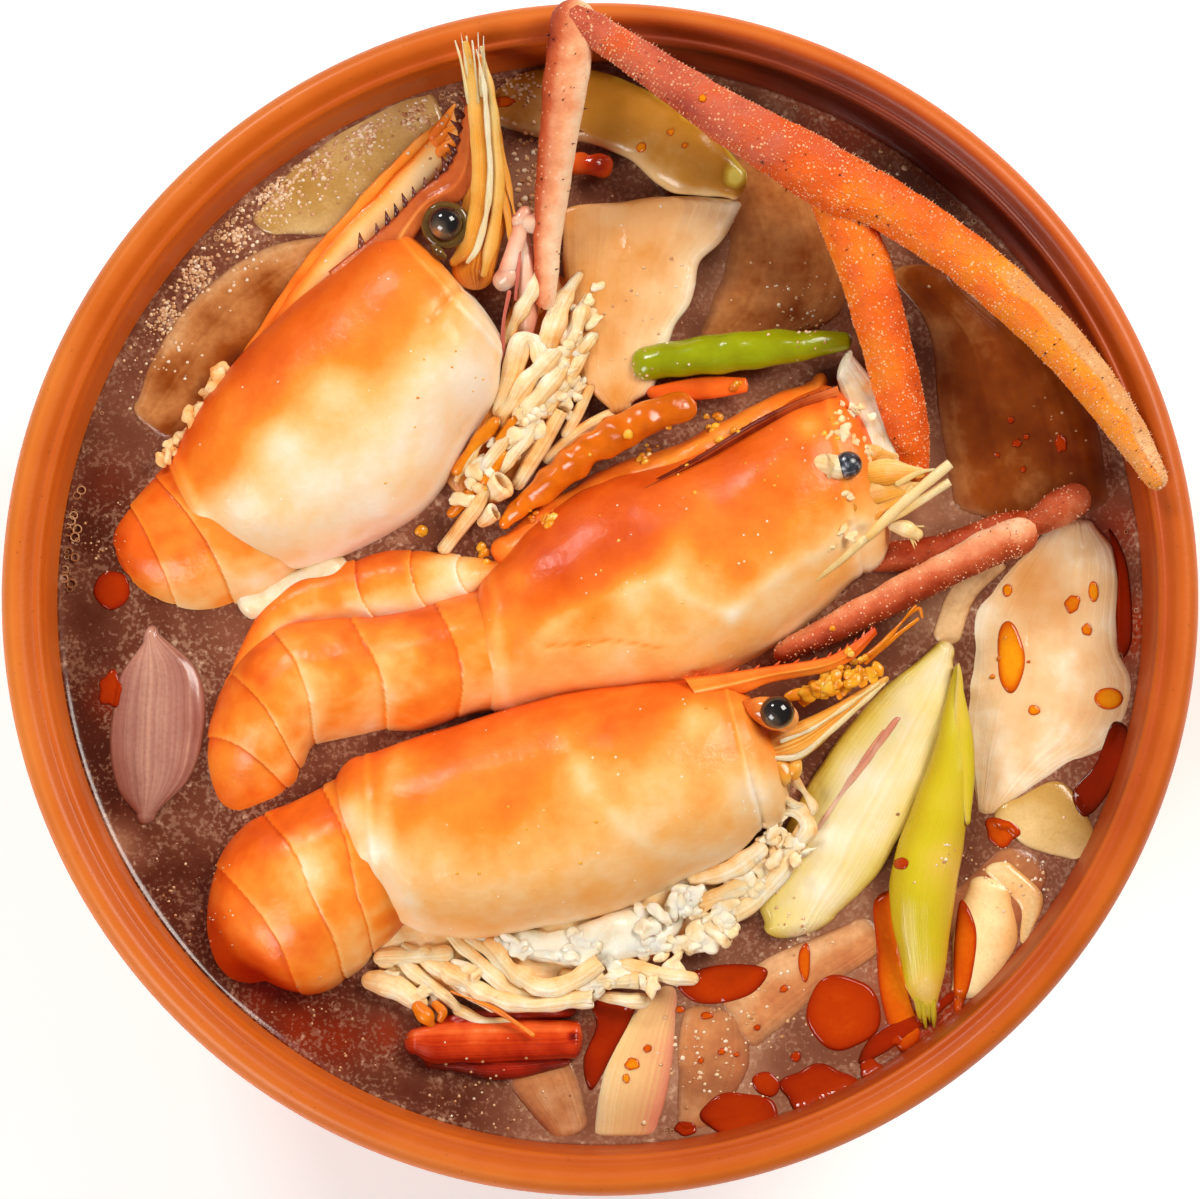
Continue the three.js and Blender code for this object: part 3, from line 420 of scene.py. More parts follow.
peach_cup = cooked("peach_eye_cup", {0: "#8e2c06", 0.35: "#d8641a", 0.6: "#f09a48", 1: "#fbd8a8"},
    patch=3, roughness=0.12, coat=1, depth=0.2)
eye_rim = cooked("clear_olive_eye_rim", {0: "#2c1c10", 0.4: "#6a4c22", 0.7: "#a8823c",
    1: "#e0c080"}, patch=2, roughness=0.1, coat=1, depth=0.1)
rosy_shell = cooked("rosy_feeler_shell", {0: "#8e3b3a", 0.35: "#cf6d5c", 0.6: "#eb9c7c",
    0.85: "#f7cdb0", 1: "#fdebdc"}, relief=0.03, roughness=0.28, depth=0.2)
# Legs and mouth parts: nearly colourless shell with the set white meat showing through.
leg_shell = cooked("boiled_leg_shell", {0: "#c05e14", 0.3: "#ec963a", 0.55: "#f8c480",
    0.8: "#fbdcaa", 1: "#fdeed2"}, wander=0.2, patch=2.6, grain=1, relief=0.22, roughness=0.4,
    coat=0.25, depth=0.2, streaks=7, streak=0.12)
white_meat = cooked("set_white_meat", {0: "#b07838", 0.3: "#e4bc84", 0.6: "#f6dfb8", 1: "#fdf3de"},
    wander=0.2, patch=2.4, grain=1.2, relief=0.2, roughness=0.3, depth=0.25)
red_fan = cooked("red_tail_fan_shell", {0: "#5e0c02", 0.3: "#a82006", 0.55: "#d2400e",
    0.8: "#ee6a2c", 1: "#f7a068"}, wander=0.12, grain=1.4, relief=0.12, coat=0.7, streaks=14,
    streak=0.08)
# Pincer shell: covered in fine grains and short velvet, so it shines less than the head shells.
pincer_shell = cooked("velvety_pincer_shell", {0: "#6e1a0c", 0.2: "#b2422a", 0.32: "#d26444",
    0.42: "#dc5618", 0.54: "#f46a14", 0.7: "#f79420", 0.86: "#dc9858", 1: "#f2c088"}, wander=0.04,
    patch=3, grain=0.7, relief=0.3, roughness=0.6, coat=0.08, fleck=("#ffcf9c", 0.8, 0.3))
dusky_shell = cooked("dusky_leg_shell", {0: "#561206", 0.25: "#a03412", 0.5: "#d06034",
    0.75: "#f2a272", 1: "#fddab4"}, patch=3, grain=0.7, relief=0.26, roughness=0.55, coat=0.1,
    fleck=("#f8c8a4", 0.9, 0.25))
spine_tip = cooked("dark_spine", {0: "#2e1016", 0.5: "#7c3a2c", 1: "#f2c9a4"}, wander=0.05, patch=2,
    grain=0.3, roughness=0.4, coat=0.2, depth=0)
pale_grain = cooked("pale_shell_grain", {0: "#dc7438", 0.5: "#f2a470", 1: "#fcd8b4"}, wander=0.05,
    patch=3, grain=0.3, roughness=0.4, coat=0.3, depth=0)
# Boiled eyes: a glassy black bead, and one gone silvery where its layers have come apart.
# The black eye's brown and orange top stops give the painted reflection that eyeball adds.
black_eye = cooked("glassy_black_eye", {0: "#080708", 0.4: "#241f20", 0.7: "#6a5a4a", 1: "#e8862c"},
    wander=0.06, patch=1.6, grain=0.3, roughness=0.08, coat=1, depth=0)
silver_eye = cooked("silvery_eye", {0: "#17181c", 0.4: "#4b4e58", 0.65: "#9698a0", 1: "#d4d2d0"},
    wander=0.5, patch=0.9, grain=0.3, relief=0.05, roughness=0.15, coat=1, depth=0)
sunk_petal = cooked("sunk_shallot_petal", {0: "#963c1c", 0.4: "#c46e42", 0.7: "#da9058",
    1: "#f0bc88"}, wander=0.16, patch=5, grain=1.2, relief=0.08, roughness=0.16, coat=0.4,
    depth=0.1, streaks=10, streak=0.08, murky=True)
# Oyster mushroom: dense pale flesh with fine fibres, slightly see-through when boiled.
mushroom_flesh = cooked("boiled_oyster_mushroom", {0: "#b86a1c", 0.35: "#dc9040", 0.6: "#e9ae70",
    0.85: "#f1ca98", 1: "#fae4c4"}, wander=0.14, patch=7, grain=2.2, relief=0.16, roughness=0.3,
    coat=0.35, depth=0.2, streaks=12, streak=0.03)
sunk_mushroom = cooked("sunk_oyster_mushroom", {0: "#6a2002", 0.35: "#94460f", 0.65: "#cc874a",
    1: "#f4c890"}, wander=0.16, patch=5, grain=0.9, relief=0.05, coat=0.3, depth=0.1, streaks=9,
    streak=0.07, murky=True)
# Green tomato wedge: olive rind, paler wet flesh with soft cell walls.
tomato_wedge = cooked("boiled_green_tomato", {0: "#fbe46c", 0.12: "#d8b43c", 0.3: "#b4761e",
    0.6: "#cc8c38", 1: "#f4d49c"}, wander=0.08, grain=1.8, relief=0.12, roughness=0.22, depth=0.2)
sunk_tomato = cooked("sunk_green_tomato", {0: "#96701c", 0.4: "#bc8e42", 0.7: "#cea35a",
    1: "#eac88a"}, wander=0.14, patch=5, grain=0.5, relief=0.05, roughness=0.16, coat=0.6,
    depth=0.1, murky=True)
green_skin = cooked("green_chilli_skin", {0: "#5a5004", 0.35: "#7c7c04", 0.65: "#98a008",
    0.85: "#b0b42c", 1: "#d6d070"}, grain=1.6, relief=0.1, roughness=0.16, coat=0.8, depth=0.1)
brown_skin = cooked("boiled_amber_chilli_skin", {0: "#7a3002", 0.35: "#b85204", 0.6: "#e06c0a",
    0.85: "#f48a18", 1: "#fcb84c"}, wander=0.14, grain=1.8, relief=0.2, roughness=0.15, coat=0.8)
red_flesh = cooked("cut_red_chilli", {0: "#a01c08", 0.4: "#e04512", 0.7: "#f96a1c", 1: "#fba64c"},
    wander=0.08, patch=3, relief=0.04, coat=0.7)
# Lemongrass: tight layered leaf bases with long fibres, yellow green outside and white within.
lemongrass_cut = cooked("cut_lemongrass_stalk", {0: "#b48e1e", 0.22: "#dcbc44", 0.45: "#ebd27a",
    0.7: "#f2dca4", 1: "#fbf0d8"}, wander=0.12, patch=7, grain=1.6, relief=0.1, roughness=0.24,
    coat=0.4, depth=0.2, streaks=24, streak=0.04)
lemongrass_leaf = cooked("lemongrass_outer_leaf", {0: "#a88410", 0.3: "#caae18", 0.55: "#d8c222",
    0.8: "#e8c448", 1: "#f8e09a"}, wander=0.06, patch=8, grain=0.5, relief=0.04, roughness=0.24,
    depth=0.15, streaks=70, streak=0.06)
# Shallot: clear boiled layers over purple veins.
shallot_layer = cooked("boiled_shallot_layer", {0: "#6e2c1c", 0.3: "#96584a", 0.55: "#b07a6a",
    0.8: "#d8a890", 1: "#f6dac4"}, wander=0.05, patch=8, grain=0.8, relief=0.03, roughness=0.18,
    depth=0.3, streaks=16, murky=True)
petal_layer = cooked("boiled_shallot_petal", {0: "#c8604a", 0.3: "#e89874", 0.5: "#eab078",
    0.75: "#f3c888", 1: "#fbe4b8"}, wander=0.08, patch=6, grain=0.7, relief=0.03, coat=0.6,
    depth=0.25, streaks=20, streak=0.08)
garlic_flesh = cooked("boiled_garlic", {0: "#b06420", 0.4: "#e09c50", 0.7: "#f6c07a", 1: "#fee2a8"},
    wander=0.12, grain=0.6, relief=0.04, roughness=0.24, depth=0.2, murky=True)
# Chilli oil: clear red orange fat in thin lenses on the broth, with a mirror shine.
chilli_oil = cooked("red_chilli_oil", {0: "#5e1402", 0.35: "#9c2402", 0.6: "#b83802",
    0.8: "#d86006", 1: "#f29a10"}, wander=0.08, patch=8, grain=0.8, relief=0.004, roughness=0.07,
    coat=0.2, depth=0)
froth = cooked("broth_froth", {0: "#3a1206", 0.3: "#7a401e", 0.6: "#c98c5a", 0.85: "#ecc090",
    1: "#fbe4c4"}, wander=0.12, patch=2, relief=0.02, coat=0.6, depth=0.1)
crumb = cooked("yellow_prawn_fat", {0: "#c4520a", 0.4: "#ee8a10", 0.7: "#f9b32c", 1: "#fde0a0"},
    wander=0.12, patch=2, relief=0.06, roughness=0.3, depth=0.2)


def broth_material():
    """Murky stock: brown, with fine pale fat and spice grains, redder where the oil gathers."""
    material, tree, place, tone = empty_material("murky_tom_yum_broth")
    shore = node(tree, "Attribute", out="Fac", attribute_name="shore")
    red = node(tree, "Attribute", out="Fac", attribute_name="red")
    cloud = node(tree, "TexNoise", {"Vector": place, "Scale": 1 / (14 * MM), "Detail": 6.0,
        "Roughness": 0.62})
    tone = node(tree, "Math", {0: cloud, 1: 0.7, 2: tone}, operation="MULTIPLY_ADD")
    tone = node(tree, "Math", {0: tone, 1: 0.35}, operation="SUBTRACT")
    colour = node(tree, "ValToRGB", {"Fac": tone}, stops={0: "#381208", 0.25: "#5c2a1a",
        0.5: "#84503a", 0.75: "#a87658", 1: "#cca288"})
    redness = node(tree, "Math", {0: cloud, 1: 0.8, 2: red}, operation="MULTIPLY_ADD")
    redness = node(tree, "Math", {0: redness, 1: 0.4}, operation="SUBTRACT", use_clamp=True)
    redness = node(tree, "Math", {0: redness, 1: red}, operation="MULTIPLY", use_clamp=True)
    colour = node(tree, "Mix", {FACTOR: redness, FIRST: colour, SECOND: linear("#9a2e0a")},
        out=BLENDED, data_type="RGBA")
    # Froth dust and fat specks gather in drifts and along the shores.
    drift = node(tree, "TexNoise", {"Vector": place, "Scale": 1 / (7 * MM), "Detail": 5.0})
    drift = node(tree, "Math", {0: shore, 1: 0.16, 2: drift}, operation="MULTIPLY_ADD")
    for size, code, low, strength in ((0.7, "#b88c70", 0.6, 0.4), (1.3, "#e2bc9c", 0.72, 0.5)):
        dust = node(tree, "TexNoise", {"Vector": place, "Scale": 1 / (size * MM), "Detail": 4.0})
        dust = node(tree, "Math", {0: drift, 1: 0.5, 2: dust}, operation="MULTIPLY_ADD")
        dust = node(tree, "MapRange", {"Value": dust, "From Min": low + 0.21,
            "From Max": low + 0.31, "To Min": 0.0, "To Max": strength})
        colour = node(tree, "Mix", {FACTOR: dust, FIRST: colour, SECOND: linear(code)}, out=BLENDED,
            data_type="RGBA")
    fine = node(tree, "TexNoise", {"Vector": place, "Scale": 1 / (1.1 * MM), "Detail": 3.0})
    bump = node(tree, "Bump", {"Height": fine, "Strength": 0.5, "Distance": 0.05 * MM})
    shader = node(tree, "BsdfPrincipled", {"Base Color": colour, "Roughness": 0.16, "IOR": 1.34,
        "Normal": bump, "Coat Weight": 0.25, "Coat Roughness": 0.05})
    node(tree, "OutputMaterial", {"Surface": shader})
    return material


def terracotta_material():
    """Wheel-thrown terracotta under a clear satin glaze: fine turned lines, small dark specks, and
    glaze that is thin and pale on the rim's edge and deep brown orange where it pools. The bowl's
    tone also carries painted light and shade."""
    material, tree, place, tone = empty_material("glazed_terracotta")
    parts = node(tree, "SeparateXYZ", {0: place}).node.outputs
    flat = node(tree, "Math", {0: parts[0], 1: parts[0]}, operation="MULTIPLY")
    flat = node(tree, "Math", {0: parts[1], 1: parts[1], 2: flat}, operation="MULTIPLY_ADD")
    radius = node(tree, "Math", {0: flat}, operation="SQRT")
    ring = node(tree, "CombineXYZ", {0: radius, 1: 0.0, 2: parts[2]})
    lines = node(tree, "TexNoise", {"Vector": ring, "Scale": 1 / (1.6 * MM), "Detail": 3.0})
    cloud = node(tree, "TexNoise", {"Vector": place, "Scale": 1 / (22 * MM), "Detail": 6.0})
    shade = node(tree, "Math", {0: lines, 1: 0.22, 2: tone}, operation="MULTIPLY_ADD")
    shade = node(tree, "Math", {0: cloud, 1: 0.4, 2: shade}, operation="MULTIPLY_ADD")
    shade = node(tree, "Math", {0: shade, 1: 0.31}, operation="SUBTRACT")
    colour = node(tree, "ValToRGB", {"Fac": shade}, stops={0: "#6a1c02", 0.3: "#b04406",
        0.55: "#ce600e", 0.8: "#e47e28", 1: "#f6aa60"})
    specks = node(tree, "TexVoronoi", {"Vector": place, "Scale": 1 / (2.2 * MM)})
    specks = node(tree, "MapRange", {"Value": specks, "From Min": 0.04, "From Max": 0.1,
        "To Min": 0.45, "To Max": 0.0})
    colour = node(tree, "Mix", {FACTOR: specks, FIRST: colour, SECOND: linear("#6e2c10")},
        out=BLENDED, data_type="RGBA")
    fine = node(tree, "TexNoise", {"Vector": place, "Scale": 1 / (0.8 * MM), "Detail": 3.0})
    height = node(tree, "Math", {0: lines, 1: 2.5, 2: fine}, operation="MULTIPLY_ADD")
    bump = node(tree, "Bump", {"Height": height, "Strength": 0.6, "Distance": 0.1 * MM})
    sheen = node(tree, "MapRange", {"Value": cloud, "From Min": 0.3, "From Max": 0.7,
        "To Min": 0.42, "To Max": 0.58})
    shader = node(tree, "BsdfPrincipled", {"Base Color": colour, "Roughness": sheen, "IOR": 1.5,
        "Normal": bump, "Specular IOR Level": 0.3, "Coat Weight": 0.12, "Coat Roughness": 0.2})
    node(tree, "OutputMaterial", {"Surface": shader})
    return material


# ------------------------------------------------------------------ bowl
def wall(floor, neck, steps):
    """A wall profile from the floor's edge up to the neck, as [radius, height] points."""
    flare = 0.95  # just under 1, which makes the wall a little fuller than an ellipse
    turns = np.linspace(0, math.pi / 2, steps)
    radius = floor[0] + (neck[0] - floor[0]) * np.sin(turns) ** flare
    height = floor[1] + (neck[1] - floor[1]) * (1 - np.cos(turns))
    return np.column_stack([radius, height]).tolist()


def bowl():
    """The thrown bowl: a circle drawn out ring by ring along its profile, from foot to floor."""
    rim = along(
        [
            [98.0, 70], [98.7, 71.6], [99.7, 73.2], [99.9, 75], [99.2, 76.8], [97.7, 77.8],
            [96.2, 77.6], [95.1, 76.6], [94.5, 76.2], [93.9, 76.3], [93.3, 75.8], [93.0, 74.4],
            [92.7, 73],
        ],
        np.linspace(0, 1, 40),
    ).tolist()
    profile = [
        [30, 0], [55.6, 0], [56.6, 0.4], [57, 1.2], [57, 2.6], [57.2, 3.8], [58.4, 4.6],
        *wall([60, 5], [98, 70], 34)[1:-1],
        *rim,
        *wall([50, 9], [92.6, 72], 44)[::-1],
        [35, INNER_FLOOR], [15, INNER_FLOOR],
    ]
    deselect()
    first = profile[0]
    bpy.ops.mesh.primitive_circle_add(
        vertices=BOWL_SEGMENTS, radius=first[0] * MM, fill_type="TRIFAN",
        location=(0, 0, first[1] * MM),
    )
    piece = bpy.context.object
    piece.name = "bowl_thrown"
    bpy.ops.object.transform_apply(location=True)
    bpy.ops.object.mode_set(mode="EDIT")
    bpy.ops.mesh.select_mode(type="EDGE")
    bpy.ops.mesh.select_all(action="SELECT")
    bpy.ops.mesh.region_to_loop()
    for (last_radius, last_height), (radius, height) in zip(profile, profile[1:]):
        bpy.ops.mesh.extrude_edges_move(
            TRANSFORM_OT_translate={"value": (0, 0, (height - last_height) * MM)}
        )
        ratio = radius / last_radius
        bpy.ops.transform.resize(value=(ratio, ratio, 1), center_override=(0, 0, height * MM))
    bpy.ops.mesh.edge_face_add()
    bpy.ops.mesh.poke()
    bpy.ops.mesh.select_all(action="SELECT")
    bpy.ops.mesh.normals_make_consistent(inside=False)
    bpy.ops.object.mode_set(mode="OBJECT")
    bpy.ops.object.shade_smooth()
    mesh = piece.data
    points = np.array([v.co for v in mesh.vertices]) / MM
    around = np.hypot(points[:, 0], points[:, 1])
    # The glaze runs thin over the rim's edges and pools in the groove.
    tone = 0.46 + 0.14 * np.exp(-((around - 98.5) ** 2) / 2.5) * (points[:, 2] > 74)
    tone -= 0.1 * np.exp(-((around - 94.6) ** 2) / 0.6) * (points[:, 2] > 74)
    inner = (around < 93.2) & (points[:, 2] < 75.5)
    # Painted light and shade: the inner wall is painted darker overall, and lighter on the left,
    # where the key light falls, than on the right, which lies in shade.
    tone += inner * (0.22 * step(40, -80, points[:, 0]) - 0.16)
    # Painted light and shade: the whole bowl is painted lighter on its left side and a little darker
    # on its right.
    tone += 0.1 * step(20, -90, points[:, 0]) - 0.04 * step(30, 95, points[:, 0])
    # Painted shadow: the inner wall under the far right rim, turned away from the key light, is
    # painted darker.
    toward_shaded_wall = (0.47 * points[:, 0] + 0.88 * points[:, 1]) / np.maximum(around, 1)
    tone -= 0.3 * step(97.6, 96, around) * step(0.75, 0.95, toward_shaded_wall) * (points[:, 2] > 60)
    mark(mesh, tone)
    return settle(piece, terracotta_material(), "terracotta", "bowl")


# ------------------------------------------------------------------ prawns
def head_shell(name, plan, backs, spots, seed, furrows):
    """A prawn's head shell. backs are its tones from back edge to belly. Each furrow is a line with
    a width, a depth and a change of tone."""
    grid, share, across = lying(plan, rows=150, over=84)
    relief = 0.28 * swell(grid, 14, seed) + 0.1 * swell(grid, 4, seed + 1)
    # A thin raised hem runs round the open edge of the shell, pale where it is single.
    hem = np.exp(-((share - 0.015) ** 2) / 0.0004) + np.exp(-((share - 0.985) ** 2) / 0.0004)
    belly = np.exp(-((across - 0.985) ** 2) / 0.0004)
    relief += 0.25 * hem + 0.2 * belly
    tone = np.interp(across, SHADES, backs)
    tone = painted(grid, tone, spots)
    tone += 0.12 * hem + 0.08 * belly
    tone += 0.03 * swell(grid, 7, seed + 2) + 0.02 * swell(grid, 2.5, seed + 3)
    for line, width, depth, shift in furrows:
        near = np.full(grid.shape[:2], np.inf)
        for x, y in along(line, np.linspace(0, 1, 60)):
            near = np.minimum(near, (grid[..., 0] - x) ** 2 + (grid[..., 1] - y) ** 2)
        cut = np.exp(-near / (2 * width**2)) * (grid[..., 2] > plan["heights"][0][0])
        relief -= depth * cut
        tone += shift * cut
    grid = grid + outward(grid) * relief[..., None]
    return skin(name, grid, {"tone": np.clip(tone, 0, 1), "across": across})


def ringed_tail(name, plan, joints, backs, spots, seed, bow=0.03):
    """A prawn's ringed tail part: each ring laps over the next towards the tail."""
    grid, share, across = lying(plan, rows=260, over=72, square=2.1)
    bent = share + bow * np.sin(math.pi * across) - bow * 0.5 + 0.006 * swell(grid, 10, seed + 9)
    marks = np.array([0.0] + list(joints) + [1.05])
    index = np.clip(np.searchsorted(marks, bent, side="right") - 1, 0, len(marks) - 2)
    start, end = marks[index], marks[index + 1]
    part = np.clip((bent - start) / (end - start), 0, 1)
    lap = part**1.6
    edge = np.exp(-((1 - part) ** 2) / 0.01)
    foot = np.exp(-(part**2) / 0.002)
    relief = -0.1 + 0.24 * lap - 0.08 * foot + 0.1 * np.sin(math.pi * part)
    relief += 0.2 * swell(grid, 9, seed) + 0.08 * swell(grid, 3, seed + 5)
    # Each ring ends in a rounded flap on the belly side.
    relief += 0.28 * np.sin(math.pi * part) * step(0.8, 1.0, across)
    tone = np.interp(across, SHADES, backs)
    tone = painted(grid, tone, spots)
    tone += 0.06 * (part - 0.5) + 0.08 * edge - 0.1 * foot
    tone += 0.07 * swell(grid, 6, seed + 1) + 0.03 * swell(grid, 2, seed + 3)
    grid = grid + outward(grid) * relief[..., None]
    return skin(name, grid, {"tone": np.clip(tone, 0, 1), "across": across})


def crest(name, ridge, keel, base, tip, teeth, tooth, thick, tones, seed, looks, lean, first=0.0):
    """The toothed crest over a prawn's eye: a thin blade with a raised rib along its side that
    carries a painted highlight, and forward leaning teeth on its ridge. looks are the finishes of
    blade and teeth."""
    rows, columns = 160, 41
    places = np.linspace(0, 1, rows)
    top, low = along(ridge, places), along(keel, places)
    heights = base + (tip - base) * places
    angle = np.linspace(0, TURN, columns)
    share = (1 + np.cos(angle)) / 2
    thickness = thick * (1 - 0.7 * places)
    wave = np.sin(angle)
    rib = 1 + 0.8 * np.exp(-((share - 0.45) ** 2) / 0.012)
    grid = np.zeros((rows, columns, 3))
    grid[..., :2] = low[:, None] + (top - low)[:, None] * share[None, :, None]
    side = np.sign(wave) * np.abs(wave) ** 0.8 * rib
    grid[..., 2] = heights[:, None] + thickness[:, None] * side
    ends = [np.tile(grid[row].mean(axis=0), (1, columns, 1)) for row in (0, -1)]
    grid = np.concatenate([ends[0], grid, ends[1]])
    places = np.concatenate([[0], places, [1]])
    tone = np.interp(places, np.linspace(0, 1, len(tones)), tones)[:, None] * np.ones((1, columns))
    # Painted highlight: a pale line along the rib, strongest at the crest's root.
    tone = tone + 0.35 * np.exp(-((share - 0.42) ** 2) / 0.004)[None] * (1 - places)[:, None]
    tone = tone - 0.25 * step(0.85, 1.0, share)[None] + 0.04 * swell(grid, 4, seed)
    across = np.broadcast_to(share, tone.shape)
    blade = skin(name, grid, {"tone": np.clip(tone, 0, 1), "across": across})
    where = np.linspace(first, 0.96, teeth)
    roots = along(ridge, where)
    forward = along(ridge, where + 0.02) - along(ridge, where - 0.02)
    forward /= np.linalg.norm(forward, axis=1, keepdims=True)
    out = np.column_stack([-forward[:, 1], forward[:, 0]])
    if (out * (roots - along(keel, where))).sum() < 0:
        out = -out
    level = base + (tip - base) * where
    chance = np.random.default_rng(seed)
    long = tooth * chance.uniform(0.8, 1.15, teeth)
    ways = np.column_stack([out + lean * forward, 0.15 * chance.normal(size=teeth)])
    sizes = np.column_stack([long, long * 1.1, long * 0.7])
    saw = copies(
        name + "_teeth", thorn(9), np.column_stack([roots - out * 0.3, level]), sizes,
        chance.uniform(0.15, 0.6, teeth), facing(ways),
    )
    settle(blade, looks[0], "shell")
    settle(saw, looks[1], "shell")


def eyeball(name, centre, radius, painted_reflection=0.0):
    """A wet eye with a faintly bulging front, on its stalk, and a painted reflection on its lower
    left.
    """
    deselect()
    bpy.ops.mesh.primitive_uv_sphere_add(
        segments=40, ring_count=24, radius=radius * MM, location=[c * MM for c in centre]
    )
    piece = bpy.context.object
    piece.name = name
    bpy.ops.object.transform_apply(location=True)
    bpy.ops.object.mode_set(mode="EDIT")
    bpy.ops.mesh.select_all(action="SELECT")
    bpy.ops.transform.resize(value=(1.0, 0.96, 0.9), center_override=[c * MM for c in centre])
    bpy.ops.object.mode_set(mode="OBJECT")
    bpy.ops.object.shade_smooth()
    points = np.array([v.co for v in piece.data.vertices]) / MM - centre
    # Painted reflection: the tone rises towards the eye's lower left, where the colour ramp turns
    # orange like the shell around it.
    tone = 0.32 + 0.1 * swell(points, radius, 5) + painted_reflection * np.exp(
        -((points[:, 0] + radius * 0.5) ** 2 + (points[:, 1] + radius * 0.6) ** 2) / radius
    )
    mark(piece.data, tone)
    return piece


def limbs(name, paths, tone=0.7, round_tone=(0,), hollow=(), seed=0, lump=0.08, spots=(),
        tan=(1, 0), **shape):
    """Several limbs as one piece. tone may change along them, round_tone shades them from one
    side to the other, hollow tells which of them have open cut ends, and tan gives where along
    them the outer side turns tan and by how much."""
    tones = tone if isinstance(tone, tuple) else (tone,)
    parts = []
    for i, path in enumerate(paths):
        grid, share, across = tube(path, hollow=i in hollow, **shape)
        grid = grid + outward(grid) * (lump * swell(grid, 2.5, seed + i))[..., None]
        values = np.interp(share, np.linspace(0, 1, len(tones)), tones)
        values = painted(grid, values, spots) + 0.04 * swell(grid, 4, seed + 40 + i)
        values += np.interp(across, np.linspace(0, 1, len(round_tone)), round_tone)
        seam = 0.5 + 0.05 * swell(grid, 3, seed + 50)
        values += tan[1] * step(tan[0], tan[0] + 0.1, share) * step(0, 0.1, seam - across)
        parts.append(skin(name, grid, {"tone": np.clip(values, 0, 1), "across": across}))
    return join(name, parts)


def lumps(name, spots, tone=0.7, rough=0.15, seed=0, fine=4):
    """Soft lumps of [x, y, z, half length, half width, half height, turn] as one piece."""
    points, faces = ball(fine)
    vertices, corners, tones = [], [], []
    for i, (x, y, z, length, width, height, turn) in enumerate(spots):
        size = np.array([length, width, height])
        shape = points * size
        shape *= 1 + rough * swell(shape, size.mean() * 0.75, seed + i)[:, None]
        c, d = math.cos(math.radians(turn)), math.sin(math.radians(turn))
        shape = shape @ np.array([[c, d, 0], [-d, c, 0], [0, 0, 1]]) + [x, y, z]
        corners += [[v + i * len(points) for v in face] for face in faces]
        vertices.append(shape)
        tones.append(tone + 0.12 * swell(shape, 2, seed + 70 + i))
    return meshed(name, np.concatenate(vertices), corners, np.clip(np.concatenate(tones), 0, 1))


def torn(lines, seed):
    """Ragged scraps strewn along lines of [x, y, x, y, z, spread, count, size, turn], for lumps."""
    chance = np.random.default_rng(seed)
    spots = []
    for x0, y0, x1, y1, z, spread, count, size, turn in lines:
        for t in chance.uniform(0, 1, count):
            long, wide, high = size * chance.uniform([0.5, 0.35, 0.25], [1.3, 0.95, 0.5])
            spots.append([
                x0 + (x1 - x0) * t + spread * chance.normal(),
                y0 + (y1 - y0) * t + spread * chance.normal(),
                z + 0.5 * chance.normal(), long, wide, high, turn + 38 * chance.normal(),
            ])
    return spots


def facing(ways):
    """Turns that carry the x axis to each direction."""
    ways = np.asarray(ways, float)
    ways = ways / np.linalg.norm(ways, axis=1, keepdims=True)
    side = np.cross([0.01, 0.02, 1.0], ways)
    side /= np.linalg.norm(side, axis=1, keepdims=True)
    return np.stack([ways, side, np.cross(ways, side)], axis=2)


def thorn(sides):
    """A hooked spine of length 1 along x, thickest at its root."""
    deselect()
    bpy.ops.mesh.primitive_cone_add(
        vertices=sides, radius1=0.28 * MM, radius2=0.03 * MM, depth=MM, end_fill_type="TRIFAN"
    )
    piece = bpy.context.object
    bpy.ops.object.mode_set(mode="EDIT")
    bpy.ops.mesh.select_all(action="SELECT")
    bpy.ops.transform.translate(value=(0, 0, 0.45 * MM))
    bpy.ops.object.mode_set(mode="OBJECT")
    points, faces = model_of(piece)
    hook = 0.25 * points[:, 2] ** 2
    return np.column_stack([points[:, 2], points[:, 1], points[:, 0] + hook]), faces


def spines(name, piece, count, length, tone, seed, lean=(0, 0, 0), low=-0.1):
    """Short spines rooted at chance places on a piece, leaning one way."""
    chance = np.random.default_rng(seed)
    mesh = piece.data
    roots = np.array([v.co for v in mesh.vertices]) / MM
    ways = np.array([v.normal for v in mesh.vertices])
    chosen = np.flatnonzero(ways[:, 2] > low)
    chosen = chance.choice(chosen, min(count, len(chosen)), replace=False)
    ways = ways[chosen] + np.array(lean) + 0.25 * chance.normal(size=(len(chosen), 3))
    long = length * chance.uniform(0.6, 1.3, len(chosen))
    sizes = np.column_stack([long, long * 0.8, long * 0.8])
    tones = np.clip(tone + 0.2 * chance.normal(size=len(chosen)), 0, 1)
    return copies(name, thorn(5), roots[chosen], sizes, tones, facing(ways))


def slab(name, plan, tone, spots=(), seed=0, lump=0.2, square=3.0, clear=None, rows=90):
    """A cut piece that lies flat. clear is how well it shows through broth that washes over it."""
    grid, _, across = lying(plan, rows=rows, over=60, square=square)
    relief = lump * swell(grid, 8, seed) + lump * 0.4 * swell(grid, 3, seed + 1)
    grid = grid + outward(grid) * relief[..., None]
    values = np.interp(across, np.linspace(0, 1, len(tone)), tone)
    values = painted(grid, values, spots)
    values += 0.05 * swell(grid, 6, seed + 2)
    marks = {"across": across}
    if clear is not None:
        shows = step(BROTH_LEVEL + 0.1, BROTH_LEVEL + 0.75, grid[..., 2])
        marks["clear"] = clear * shows
    marks["tone"] = np.clip(values, 0, 1)
    return skin(name, grid, marks)


bowl()

